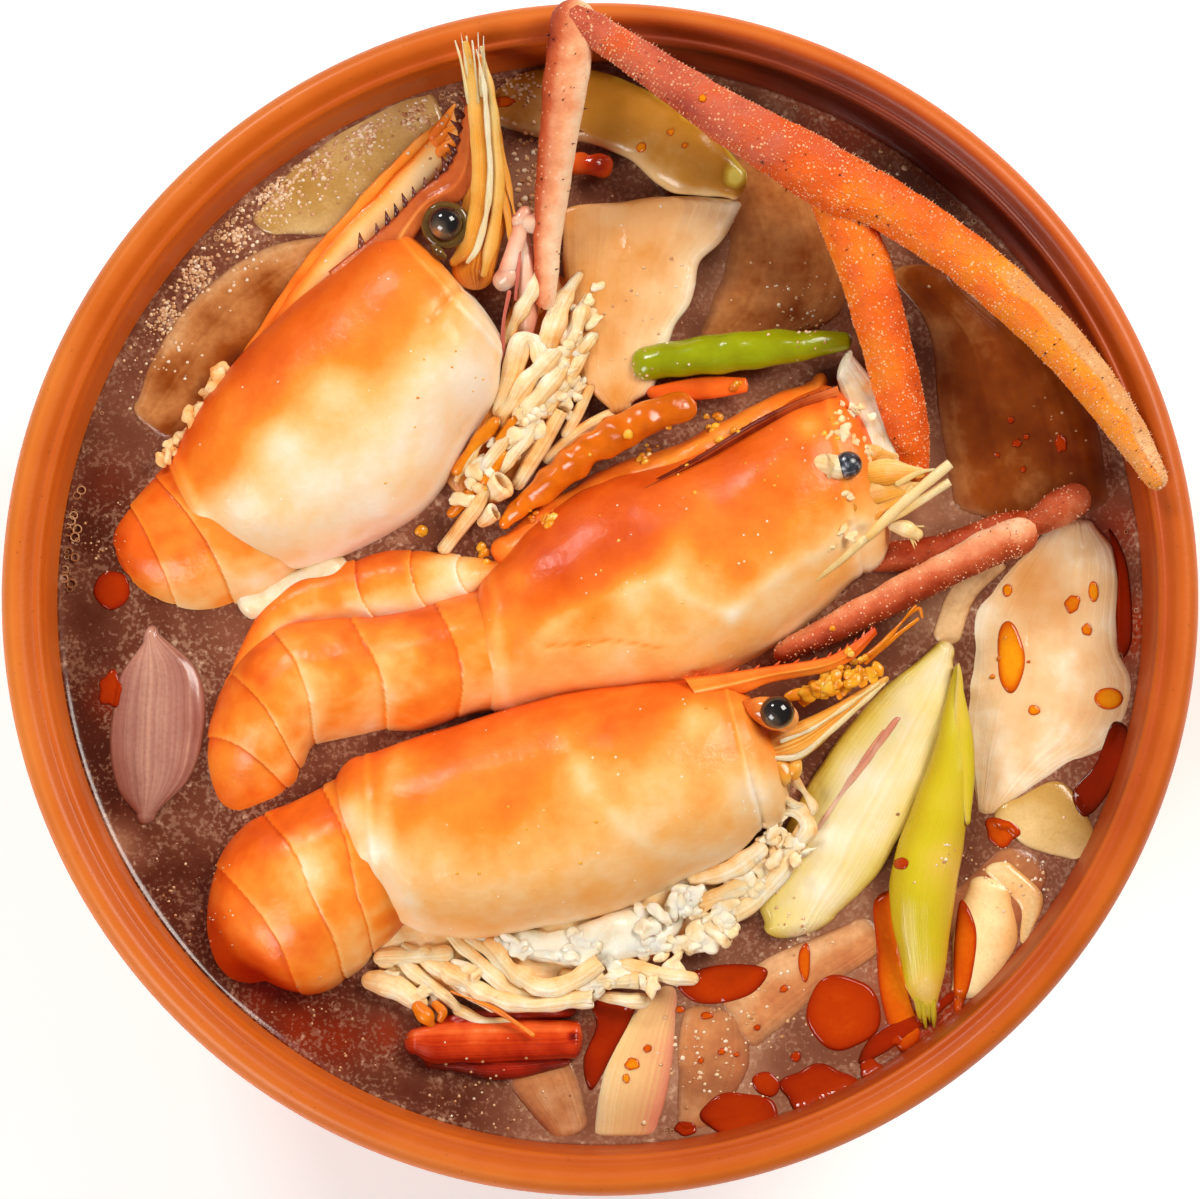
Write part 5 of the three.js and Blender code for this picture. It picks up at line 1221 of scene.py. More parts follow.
settle(limbs("first_leg_fat", [
    [[-24.2, 21.6, 66, 0.9], [-20.8, 26.6, 67.2, 1.1], [-18, 29.4, 67.6, 0.8]],
    [[-21.4, 17.6, 65.6, 0.9], [-18, 21.6, 66.8, 1.0], [-16.6, 24, 67, 0.7]],
    [[-25, 14.4, 64.8, 1.0], [-22.8, 17, 65.4, 1.1], [-21, 18.6, 65.6, 0.7]],
    [[-17, 26.6, 67.4, 0.7], [-14.8, 29.6, 68, 0.8], [-13.6, 30.6, 68, 0.5]],
], 0.35, seed=58, lump=0.3, rows=30, sides=12), crumb, "leg_meat")
settle(slab("first_swimmerets", body(
    [[-62, 3], [-55, 5], [-48, 6.5]], [[-59, -3], [-51, -1.5], [-45, 3]],
    60.6, 3.2, [-63, 0, 60.6], [-44, 6, 60.6],
), [0.4, 0.7, 0.5], seed=52, lump=0.7), white_meat, "leg_meat", "prawn_1_swimmerets")
bed = slab("third_leg_bed", body(
    [[-35, -53], [-15, -54], [5, -50], [22, -42]], [[-36, -66], [-18, -67.5], [0, -66], [12, -60]],
    62.2, [1.6, 3, 3, 1.6], [-38, -60, 62], [20, -52, 62], 4,
), [0.8, 0.7, 0.6, 0.5], seed=53, lump=0.8)
cream_legs = limbs("cream", [
    [[-25, -57, 65, 1.0], [-20.6, -61.3, 66, 1.2], [-15.7, -65.6, 66, 1.3], [-11, -68, 65.4, 1.2]],
    [[-18.4, -58.6, 65.4, 1.3], [-14.6, -63, 66.6, 1.5], [-9.4, -65.9, 67, 1.6],
     [-4.7, -64.6, 67.4, 1.5],
     [0, -61.4, 67.8, 1.5]],
    [[-29.4, -60, 64.6, 1.1], [-24.1, -63.8, 65.6, 1.5], [-18.1, -67.3, 66, 1.6],
     [-12.2, -68.6, 66.2, 1.6],
     [-7.2, -68, 66.4, 1.5], [-1.2, -67.6, 66.8, 1.45]],
    [[-6, -63.8, 65, 1.3], [-0.6, -64.9, 66.2, 1.4], [6.4, -64.5, 66.8, 1.4]],
    [[-1, -67, 64.6, 1.0], [3.2, -67.8, 65, 1.15], [7.4, -67.9, 65, 1.1]],
    [[2.6, -61.4, 65.6, 1.3], [9.7, -63.6, 66.4, 1.5], [15.4, -64.3, 66.6, 1.3]],
    [[-33, -58.6, 64, 0.9], [-27.6, -62.4, 65, 1.1], [-21.6, -66.6, 65, 1.1], [-18, -69, 64.4, 0.8]],
    [[-35, -59.4, 63.6, 0.9], [-30, -64, 64.4, 1.1], [-25, -68, 64.2, 1.1],
     [-22.5, -70.2, 63.6, 0.7]],
    [[-38.6, -64.6, 63.2, 1.7], [-34.6, -65.6, 63.8, 2.2], [-30.4, -68.6, 63.6, 1.3]],
    [[-37, -60.6, 63.6, 1.3], [-31.6, -60.4, 64.6, 1.5], [-26, -60, 65, 1.3]],
    [[-22, -57.8, 65.4, 0.9], [-17.4, -61, 66.4, 1.0], [-13, -64.8, 66.2, 0.9]],
    [[16.4, -47.6, 66, 1.5], [21.6, -46, 67.2, 1.8], [26.6, -42.6, 67, 1.5]],
    [[17.6, -51.4, 65.6, 1.5], [23.1, -49.2, 66.6, 1.6], [27.6, -47.6, 66, 1.1]],
    [[18.6, -54.6, 65, 1.5], [25, -51.8, 66, 1.7], [29.8, -47, 66.4, 1.6], [32.8, -42.4, 66.6, 1.5],
     [34.4, -38.6, 66.8, 1.2]],
    [[27.6, -36.6, 67.4, 1.2], [32.6, -35.8, 67.6, 1.4], [34.9, -38.9, 67.4, 1.4],
     [32.2, -42.4, 67, 1.3],
     [27.4, -45.8, 66.6, 1.2]],
    [[32.4, -30.6, 68.4, 0.8], [35.7, -35.3, 68, 0.8], [35, -37.6, 67.4, 0.6]],
    [[28.6, -33.4, 68.6, 0.6], [33, -35.2, 68.4, 0.6], [35.8, -36.6, 67.6, 0.4]],
    [[-24, -69.4, 63.6, 0.9], [-19.6, -71.2, 64.4, 0.8], [-15, -71.4, 64.6, 0.5]],
], (0.66, 0.85, 0.8), (-0.25, 0, 0.06), hollow=(1, 2, 3), seed=53, lump=0.28, rows=60, sides=24,
    flat=0.7)
scraps = lumps("scraps", torn([
    [9, -61, 22, -54.5, 66.2, 1.3, 26, 2.1, 30], [19, -53, 31, -44, 66.2, 1.5, 28, 2.0, 42],
    [28, -38, 33, -45, 67, 1.3, 16, 1.7, 60], [-30, -63, -12, -66, 65.4, 1.4, 14, 1.8, -30],
    [-6, -65, 14, -64, 66.2, 1.0, 16, 1.8, 0], [-37, -63, -28, -67, 63.6, 1.2, 12, 1.6, -30],
], 9), 0.8, 0.3, 9, fine=3)
settle(join("third_legs", [bed, cream_legs, scraps]), leg_shell, "leg_meat", "prawn_3_legs")
settle(join("third_gill_meat", [
    slab("meat", body(
        [[-20, -56], [-6, -55.4], [6, -52], [14, -47.5]],
        [[-18, -60.4], [-4, -61.8], [9, -59.4], [17.6, -52]],
        64.4, [1.6, 2.6, 2.8, 2.2], [-22, -58.6, 64], [18, -48, 64.6], 2,
    ), [0.8, 0.9, 1.0, 0.7], seed=54, lump=1.1),
    lumps("flakes", torn([
        [-18, -59, -2, -59, 66, 0.8, 14, 2.0, -8], [-4, -59.4, 10, -58.4, 66.6, 1.0, 18, 2.3, 0],
        [5, -55.6, 16, -50.6, 67, 1.0, 16, 2.2, 25],
    ], 12), 0.9, 0.34, 11, fine=3),
]), white_meat, "leg_meat")
settle(limbs("third_leg_fat", [
    [[-30.6, -69, 64.6, 1.0], [-29.2, -70.6, 65.2, 1.4], [-28.4, -71.8, 64.8, 0.8]],
    [[-27.6, -68.6, 65, 0.7], [-26.4, -69.8, 65.4, 0.8], [-26.8, -71, 65, 0.5]],
    [[-25, -66.4, 66, 0.25], [-17.6, -69.4, 66.8, 0.35], [-11.2, -73.6, 67, 0.4]],
], 0.25, seed=59, lump=0.12, rows=30, sides=12), crumb, "leg_meat")
# ------------------------------------------------------------------ pincer arm and front leg
forearm = settle(limbs(
    "pincer_forearm_shell",
    [[[-4, 95.3, 83.2, 2.7], [7, 88.4, 82.8, 3.2], [20, 79.6, 82, 4.2], [32, 72.8, 80.6, 5.1],
      [41, 67.6, 79.4, 5.4], [48.5, 64.3, 79, 4.5], [59.5, 57, 79, 4.3], [70, 48, 79, 4.2],
      [80, 37.5, 79.2, 3.8], [87.5, 27, 79.6, 3.2], [92.4, 18.5, 80.5, 1.9]]],
    (0.24, 0.26, 0.3, 0.4, 0.5, 0.52, 0.55, 0.6, 0.64, 0.68, 0.72), (-0.03, 0.02, 0.03),
    seed=61, lump=0.1, rows=240, sides=56, flat=0.85, tan=(0.6, 0.24),
    spots=[[1, 89, 3, 0.32], [14, 80, 3, 0.2], [4, 93, 3, 0.36]],
), pincer_shell, "pincer", "pincer_forearm")
moving = settle(limbs(
    "pincer_moving_shell",
    [[[39.5, 66.4, 76.8, 4.4], [44.5, 54.5, 75, 4.6], [48.5, 41, 72, 4.2], [51.5, 30, 69, 3.8],
      [52.8, 22, 66, 3]]],
    (0.56, 0.54, 0.52, 0.5), (-0.06, 0.02, 0.04), seed=63, lump=0.1, rows=160, sides=52,
), pincer_shell, "pincer", "pincer_moving_finger")
upper_arm = settle(limbs(
    "pincer_upper_shell",
    [[[-4.4, 95, 82.4, 3.9], [-5.6, 86, 81.2, 3.8], [-6.8, 77.5, 79, 3.3], [-8, 68, 75.6, 2.9],
      [-8.8, 60, 73, 2.4], [-9.2, 50, 70.5, 1.7]]],
    (0.62, 0.76), (0.3, 0.14, -0.02, -0.36), seed=64, lump=0.06, rows=120, sides=44, flat=0.8,
), dusky_shell, "dusky_leg", "pincer_upper_arm")
upper_leg = settle(limbs(
    "front_leg_upper_shell",
    [[[80.2, 16.4, 66.8, 2.9], [77.4, 14.8, 66.8, 3.1], [73.4, 12.6, 66.4, 2.3], [69, 11.6, 66, 2.8],
      [57.5, 8, 64, 2.8], [47, 7, 62, 2.4]]],
    (0.5, 0.36), (0.12, 0, -0.12), seed=65, rows=120, sides=44, lump=0.1,
), dusky_shell, "dusky_leg", "front_leg_upper")
leg_tip = settle(limbs(
    "front_leg_tip_shell",
    [[[70.4, 9.8, 70.5, 3.2], [67, 8.6, 70.4, 3.2], [57.5, 3.9, 70, 2.9], [44, -3, 68.5, 2.7],
      [31, -9.4, 66.5, 1.8]]],
    (0.62, 0.36), (-0.28, 0.04, 0.3), seed=66, rows=140, sides=44, lump=0.12,
), dusky_shell, "dusky_leg", "front_leg_tip")
for limb, count, length, tone, lean, seed in ((forearm, 60, 0.7, 0.3, (0.5, -0.4, 0.1), 1),
        (upper_arm, 24, 0.7, 0.2, (0.6, 0, 0.0), 2), (upper_leg, 30, 0.6, 0.9, (0.3, 0.2, 0.2), 3),
        (leg_tip, 30, 0.5, 0.7, (0.3, 0.3, 0.1), 4), (moving, 24, 0.6, 0.3, (0.1, -0.4, 0.1), 5)):
    settle(spines(limb.name + "_spines", limb, count, length, tone, seed, lean), spine_tip,
           "dusky_leg")
settle(
    spines("forearm_down", forearm, 900, 0.45, 1.0, 6, (0.5, 0.5, 0.2), low=0.1),
    pale_grain, "pincer",
)
# Pale grains stand on the pincer's shell like coarse sugar.
for limb, count, seed in ((forearm, 3600, 11), (moving, 1500, 13), (leg_tip, 700, 14),
        (upper_leg, 300, 15), (upper_arm, 60, 16)):
    mesh = limb.data
    chance = np.random.default_rng(seed)
    chosen = chance.choice(len(mesh.vertices), count, replace=False)
    places = np.array([mesh.vertices[i].co for i in chosen]) / MM
    settle(
        copies(limb.name + "_grains", ball(1), places, chance.uniform(0.06, 0.2, count),
               chance.uniform(0.1, 0.9, count)),
        pale_grain, "pincer",
    )

# ------------------------------------------------------------------ vegetables
def lay(name, node_name, slot, material, left, right, tips, level, rise, sink, tone, seed, **more):
    """Lays one cut piece down between two tips. Its level may change from start to end."""
    ends = level if isinstance(level, list) else [level]
    plan = body(left, right, level, rise, [*tips[0], ends[0]], [*tips[1], ends[-1]], sink)
    nodes = [node_name] if node_name else []
    return settle(slab(name, plan, tone, seed=seed, **more), material, slot, *nodes)


lay("long_mushroom", "oyster_mushroom_1", "mushroom", mushroom_flesh,
    [[-6.5, 66], [-6, 60], [-5.5, 54], [-5, 48], [-4, 41], [-2.5, 36], [1.5, 32]],
    [[24, 67], [21, 61.5], [17, 57.5], [15.3, 50.5], [12, 45.5], [9.3, 36.5], [5.5, 33]],
    ([9, 68.5], [3.5, 31]), [65.5, 66, 66, 65.5, 65, 65, 65], 1.8, 4, [0.46, 0.52, 0.58, 0.72, 1.0],
    71, lump=0.34, spots=[[3, 35, 3, 0.35], [8, 65, 4, 0.45], [16, 56, 3, 0.95]])
lay("right_mushroom", "oyster_mushroom_2", "mushroom", mushroom_flesh,
    [[76, 11.5], [68.2, 3.6], [63.4, -3.3], [62.6, -11.9], [62, -17.7], [62.5, -27], [63.5, -35]],
    [[84, 12.5], [88, 6], [88, -8], [90.5, -15], [87.5, -24], [78, -29], [69.5, -35]],
    ([80, 13.5], [66, -37.5]), 61.6, 1.5, 3, [1.0, 0.86, 0.8, 0.84, 0.95], 72, lump=0.22,
    spots=[[70, -31, 5, 0.88], [78, -25, 5, 0.92], [74, 2, 6, 0.55], [83, -10, 4, 0.72]])
lay("strip_mushroom", "oyster_mushroom_3", "mushroom", sunk_mushroom,
    [[56.5, -5.5], [59, 1], [63, 6.5]], [[61.5, -6.5], [64, 0], [69, 5]], ([58.5, -8], [67, 7]),
    BROTH_LEVEL, 1, 3, [0.8, 0.95, 0.8], 73, lump=0.1, clear=0.95)
lay("far_mushroom", "oyster_mushroom_4", "mushroom", sunk_mushroom,
    [[50, 55], [56, 46], [58, 30], [60, 17]], [[66, 52], [78, 42], [84.5, 31], [87, 18]],
    ([57, 57], [74, 13]), BROTH_LEVEL, 0.9, 3, [0.55, 0.3, 0.3, 0.1], 74, lump=0.12, clear=0.95,
    spots=[[61, 34, 4, 0.52], [73, 40, 5, 0.15], [70, 20, 6, 0.4], [80, 24, 4, 0.1]])
lay("left_mushroom", "oyster_mushroom_5", "mushroom", sunk_mushroom,
    [[-47, 62.5], [-58, 60], [-69, 52], [-76, 42], [-79, 34]],
    [[-44, 56], [-50, 47], [-56, 39], [-63, 31], [-70, 27]],
    ([-44, 62], [-77, 29]), BROTH_LEVEL, 0.9, 3, [0.86, 0.56, 0.42, 0.5], 75, lump=0.1, clear=0.95,
    spots=[[-51, 59, 4, 0.85], [-63, 42, 5, 0.26], [-73, 38, 4, 0.42], [-68, 46, 4, 0.5]])
lay("far_tomato_wedge", "green_tomato_wedge_1", "green_tomato", tomato_wedge,
    [[-19.5, 86], [-12, 90.5], [-1, 90.5], [7, 87.5], [14.5, 83], [19.5, 79], [24.3, 73]],
    [[-19, 81.5], [-10.5, 79], [-3, 78], [5, 75], [10, 70.5], [14, 68.5], [22, 68]],
    ([-21, 83.5], [24.5, 69.5]), [62, 63, 64, 65, 66, 67, 67.5], [2.4, 3, 3, 3, 3, 2.6, 2], 4,
    [0.14, 0.4, 0.6, 0.64, 0.95], 76, spots=[[23, 71, 2.6, -0.1], [2, 85, 5, 0.36]])
lay("left_tomato_wedge", "green_tomato_wedge_2", "green_tomato", sunk_tomato,
    [[-30, 87], [-37, 85.5], [-45, 81], [-52, 75], [-58, 67]],
    [[-27, 79], [-33, 71], [-40, 64], [-47, 62.5], [-54, 62.5]],
    ([-27.5, 85], [-59, 64]), BROTH_LEVEL, 0.9, 3, [0.85, 0.75, 0.76, 0.95], 77, lump=0.1, clear=0.92,
    spots=[[-31, 82, 3, 0.9], [-51, 71, 4, 0.45]])
lay("right_tomato_wedge", "green_tomato_wedge_3", "green_tomato", sunk_tomato,
    [[69, -39], [72.5, -42.3], [80, -44.5]], [[70, -34], [78, -31], [84, -39]],
    ([66.5, -37], [84.5, -43.5]), 61.8, 1.4, 3, [1.0, 0.8, 0.5], 78, lump=0.1, clear=1.0)
lay("chilli_strip_cut", "chilli_strip", "red_chilli", red_flesh,
    [[9, 36], [17, 37.6], [24.5, 37.4]], [[10, 33.2], [17.5, 33.5], [24.8, 34.8]],
    ([8, 34.4], [25.2, 36.2]), 66, 1, 2, [0.6, 0.7, 0.6], 79, lump=0.1)
lay("lemongrass_split", "lemongrass_half", "lemongrass_cut", lemongrass_cut,
    [[56.5, -8], [47.5, -16], [39, -26], [32, -37.5], [27, -49.5], [28, -55]],
    [[60, -10.5], [60, -18], [57, -27], [52.5, -36.5], [46.5, -47], [40, -53.5]],
    ([59.5, -7.3], [33, -57.3]), [62.5, 63, 63, 63, 62.5, 62], 3, 6, [0.1, 0.4, 0.76, 0.66, 0.3], 80,
    lump=0.2, spots=[[44, -31, 5, 0.95], [38, -41, 4, 0.9], [31, -53, 4, 0.5], [54, -18, 4, 0.6]])
lay("lemongrass_leaf", "lemongrass_sheath", "lemongrass_skin", lemongrass_leaf,
    [[59.5, -13], [56.5, -24.5], [53, -34.5], [48.8, -48], [51, -63.5], [53.5, -69]],
    [[61, -15], [62.5, -28], [62, -38], [59.5, -51], [58, -63], [56.5, -69.5]],
    ([60.5, -11.5], [55, -71]), [66, 66, 65.5, 65, 63.5, 62.5], [1, 3.4, 4.2, 4.6, 3, 1], 4,
    [0.2, 0.5, 0.6, 0.7], 81, lump=0.14, square=2.1, spots=[[55, -66, 4, 0.85], [58, -45, 4, 0.8]])
lay("lemongrass_inner_leaf", None, "lemongrass_skin", lemongrass_leaf,
    [[60.2, -13], [59.4, -22], [59.6, -31], [61, -37]],
    [[61.2, -16], [62.8, -24], [63, -31], [62.4, -37]],
    ([60.7, -11.6], [61.8, -38.6]), [67, 67.6, 67.6, 67.2], 1.3, 1, [0.95, 0.7, 0.4], 90, lump=0.08)
lay("left_shallot", "shallot_1", "shallot", shallot_layer,
    [[-77.5, -7.5], [-82, -14], [-83.5, -24], [-82, -32], [-78.5, -36.5]],
    [[-75, -6], [-68, -12], [-66.8, -21], [-69, -30], [-75, -36.5]],
    ([-76.5, -4.5], [-77, -38.5]), 61.4, [1.6, 2.4, 2.6, 2.4, 1.6], 3, [0.5, 0.55, 0.66, 0.5, 0.35],
    82, lump=0.1, square=2.4, clear=1.0, spots=[[-77, -10, 5, 0.7], [-72, -26, 4, 0.6]])
lay("near_shallot", "shallot_2", "shallot", petal_layer,
    [[8.5, -66], [3.5, -73], [0, -81.5], [-1, -90]],
    [[13.5, -67], [12.8, -74.5], [11.5, -83], [9.5, -90]],
    ([11.5, -64.5], [4, -91.3]), 61.4, [1, 1.6, 1.8, 1.4], 3, [0.9, 0.7, 0.5, 0.2], 83, lump=0.2)
lay("near_garlic", "garlic_clove_1", "garlic", garlic_flesh,
    [[62.4, -48.6], [59.8, -56], [59.5, -65.5]], [[69.6, -50.5], [70.6, -58.5], [65.6, -66.5]],
    ([66.4, -47.2], [61.6, -67.6]), 61.6, 1.8, 3, [0.8, 0.95, 0.6], 84, lump=0.2, clear=1.0)
lay("far_garlic", "garlic_clove_2", "garlic", garlic_flesh,
    [[65, -46.5], [70.5, -52], [70.8, -58]], [[70, -45.3], [75, -50.5], [73, -57]],
    ([67, -44.5], [72, -59.5]), 61.6, 1.6, 3, [0.7, 0.85, 0.5], 85, lump=0.2, clear=0.9)
# Layers that lie just under the broth and show through it.
SUNK_LAYERS = [
    (sunk_mushroom, [[17, 74], [22, 62], [19, 52], [17, 46]],
     [[40, 70], [43, 58], [41, 49], [33, 45]], ([26, 76], [24, 43]), [0.6, 0.45, 0.55], 0.85),
    (sunk_petal, [[-18, -78], [-14, -84], [-9, -90]], [[-8, -72], [-4, -80], [-2, -88]],
     ([-13, -73], [-5, -91]), [0.5, 0.8, 0.7], 0.8),
    (sunk_petal, [[14, -70], [13, -78], [13, -87]], [[25, -72], [25, -79], [21, -87]],
     ([20, -69], [16, -90]), [0.8, 0.7, 0.5], 0.8),
    (sunk_petal, [[21, -66], [28, -61], [42, -55]], [[27, -76], [35, -69], [47, -60]],
     ([22, -72], [47, -55]), [0.75, 0.9, 0.6, 0.8], 0.85),
    (sunk_petal, [[66, -44], [60, -49], [57, -47]], [[75, -49], [72.5, -53.5], [66, -60]],
     ([73, -43], [61, -61]), [0.5, 0.6, 0.4], 0.5),
]
for i, (material, left, right, tips, tone, clear) in enumerate(SUNK_LAYERS):
    lay(f"sunk_layer_{i + 1}", None, "broth", material, left, right, tips, BROTH_LEVEL, 0.7, 3, tone,
        100 + i, lump=0.12, clear=clear)
# The cut lemongrass shows a purple line beside its white core, and its leaf frays at the end.
settle(limbs("lemongrass_vein", [
    [[50.5, -20.4, 66, 0.3], [49.5, -21.4, 66.05, 0.5], [45.4, -27.2, 66.1, 0.5],
     [41, -32.7, 66, 0.4],
     [36.9, -38.9, 65.9, 0.4]],
    [[47.8, -22.6, 66.1, 0.2], [44, -28, 66.2, 0.35], [40, -34, 66, 0.25]],
], (0.5, 0.75), seed=91, rows=50, sides=10, flat=0.3), rosy_shell, "lemongrass_cut")
settle(limbs("lemongrass_fray", [
    [[53.4 + 0.9 * i, -67.6, 63.6, 0.6], [53.8 + 0.8 * i, -70.2 - 0.6 * (i % 2), 63.2, 0.4],
     [54.2 + 0.7 * i, -71.6 - 0.9 * (i % 2), 62.8, 0.12]]
    for i in range(4)
], (0.4, 0.1), seed=92, rows=20, sides=8), lemongrass_leaf, "lemongrass_skin")
settle(limbs(
    "whole_green_chilli",
    [[[8, 39.8, 66.6, 2.8], [17, 41, 66.8, 3.3], [27, 42, 67, 3.3], [35, 42.8, 66.8, 2.6],
      [41.5, 43.6, 66.5, 1.5]]],
    tone=(0.62, 0.55), seed=85, rows=110, sides=36, lump=0.17,
), green_skin, "green_chilli", "green_chilli")
settle(limbs(
    "boiled_chilli",
    [[[14, 32, 68.8, 2.5], [8.5, 30.2, 69, 2.9], [-1.5, 25, 68, 3], [-9, 19, 66.5, 2.4],
      [-16, 13, 65, 1]]],
    tone=(0.5, 0.65), seed=86, rows=110, sides=36, lump=0.3,
), brown_skin, "brown_chilli", "brown_chilli")
bit, share, around = tube([[-4.6, 74, 65.4, 1.6], [-2, 74.3, 65.8, 2.2], [0.6, 73.6, 65.4, 1.6]])
bit = bit + outward(bit) * (0.4 * swell(bit, 2.5, 87))[..., None]
settle(skin("red_chilli_bit", bit, {"tone": 0.45 + 0.2 * swell(bit, 3, 88), "across": around}),
       red_flesh, "red_chilli", "chilli_bit")


# ------------------------------------------------------------------ broth
def broth():
    """The broth's surface, raised where it clings to the wall and to the pieces, closed below."""
    pieces = search_tree("bowl_thrown")
    rings, spokes = 132, 380
    radii = np.linspace(0, 1, rings) ** 0.8 * BROTH_RADIUS
    angle = np.linspace(0, TURN, spokes + 1)
    grid = np.zeros((rings, spokes + 1, 3))
    grid[..., 0] = radii[:, None] * np.cos(angle)
    grid[..., 1] = radii[:, None] * np.sin(angle)
    grid[..., 2] = BROTH_LEVEL
    near = np.full(grid.shape[:2], 9.0)
    for i in range(rings):
        for k in range(spokes):
            hit = pieces.find_nearest(Vector(grid[i, k]), 6.0)
            if hit[3] is not None:
                near[i, k] = hit[3]
    near[:, -1] = near[:, 0]
    wall_gap = np.maximum(WALL_RADIUS - np.hypot(grid[..., 0], grid[..., 1]), 0)
    grid[..., 2] += 0.3 * np.exp(-near / 0.8) + 0.9 * np.exp(-wall_gap / 0.9)
    grid[..., 2] += 0.03 * swell(grid, 6, 91)
    shore = np.exp(-np.minimum(near, wall_gap) / 2.2)
    tone = np.full(grid.shape[:2], 0.45)
    tone = painted(grid, tone, [
        [-80, -30, 26, 0.2], [-60, -70, 26, 0.14], [-30, -88, 14, 0.3], [-86, 10, 14, 0.26],
        [30, 60, 18, 0.7], [62, 40, 20, 0.4], [55, 20, 14, 0.7], [72, -52, 12, 0.5],
        [40, -62, 12, 0.7], [18, -80, 14, 0.9], [-10, -84, 8, 0.7], [-66, 55, 12, 0.4],
        [-12, 73, 6, 0.75], [54, 0, 8, 0.8], [-82, -42, 5, 0.75],
    ])
    red = painted(grid, np.full(grid.shape[:2], 0.14), [
        [52, -60, 9, 1.0], [56, -72, 10, 1.1], [90, -5, 8, 1.1], [88, 12, 7, 0.8], [88, -27, 6, 1.2],
        [2, -74, 5, 1.0], [40, 78, 12, 0.8], [75, -62, 10, 0.9], [-50, -82, 8, 0.5],
        [-84, 20, 6, 0.5], [-57, -67, 5, 0.85], [-51, -72, 6, 0.9], [-44, -74, 6, 0.9],
        [-36, -74, 5, 0.85], [75, 35, 12, 0.5],
        [78, 50, 10, 0.7], [-83, -17, 5, 0.8],
    ])
    below = []
    for radius, height in wall([50, BROTH_FLOOR], [92.2, 72], 14)[::-1]:
        if height < BROTH_LEVEL - 1.5:
            ring = np.column_stack([
                radius * np.cos(angle), radius * np.sin(angle), np.full(spokes + 1, height)
            ])
            below.append(ring)
    below.append(np.tile([0, 0, BROTH_FLOOR], (spokes + 1, 1)))
    grid = np.concatenate([grid, np.array(below)])
    fill = lambda values, v: np.concatenate([values, np.full((len(below), spokes + 1), v)])
    marks = {"tone": fill(tone, 0.4), "shore": fill(shore, 0), "red": fill(red, 0.1)}
    return settle(skin("broth_surface", grid, marks), broth_material(), "broth", "broth")


broth()


# ------------------------------------------------------------------ oil, froth and crumbs
# Oil, crumbs and fat lie on top of whatever carries them.
tops = search_tree()
LENS_RINGS = 12


def on_top(x, y):
    """The height of whatever lies uppermost at a place."""
    hit = tops.ray_cast(Vector((x, y, 120)), Vector((0, 0, -1)))[0]
    return hit.z if hit else BROTH_LEVEL


def pool(x, y, wide, deep, tone, seed):
    """A thin round lens of oil on the broth, with a slightly uneven edge."""
    chance = np.random.default_rng(seed)
    angle = np.linspace(0, TURN, 49)
    edge = np.ones(len(angle))
    for k in (2, 3, 5):
        edge += 0.05 * chance.normal() * np.cos(k * angle + chance.uniform(0, TURN))
    edge = np.column_stack([x + wide * edge * np.cos(angle), y + deep * edge * np.sin(angle)])
    return lens(edge, tone, 0.3)


def sheet(outline, tone):
    """A thin sheet of oil with the given outline."""
    wrapped = [outline[-1], *outline, outline[0], outline[1]]
    span = np.linspace(1, len(outline) + 1, 73) / (len(wrapped) - 1)
    edge = along(wrapped, span)
    edge[-1] = edge[0]
    return lens(edge, tone, 0.25)


def lens(edge, tone, height):
    """A thin lens inside an edge: a domed top, and an underside that dips into what it lies on."""
    inward = np.concatenate([np.linspace(0, 1, LENS_RINGS), np.linspace(0.97, 0, 5)])
    middle = edge[:-1].mean(axis=0)
    grid = np.zeros((len(inward), len(edge), 3))
    grid[..., :2] = middle + (edge - middle) * inward[:, None, None]
    top = height * (1 - inward**4) ** 0.5
    top[LENS_RINGS:] = -0.3
    highest = min(on_top(*middle), np.median([on_top(x, y) for x, y in edge])) + 0.8
    rests = [[min(on_top(x, y), highest) for x, y in row] for row in grid[..., :2]]
    grid[..., 2] = np.array(rests) + 0.05 + top[:, None]
    # Painted shade: the oil is painted darkest where it bends down to its edge.
    values = np.broadcast_to((tone - 0.3 * inward**5)[:, None], grid.shape[:2])
    return skin("lens", grid, {"tone": np.clip(values, 0, 1), "across": values * 0 + 0.5})


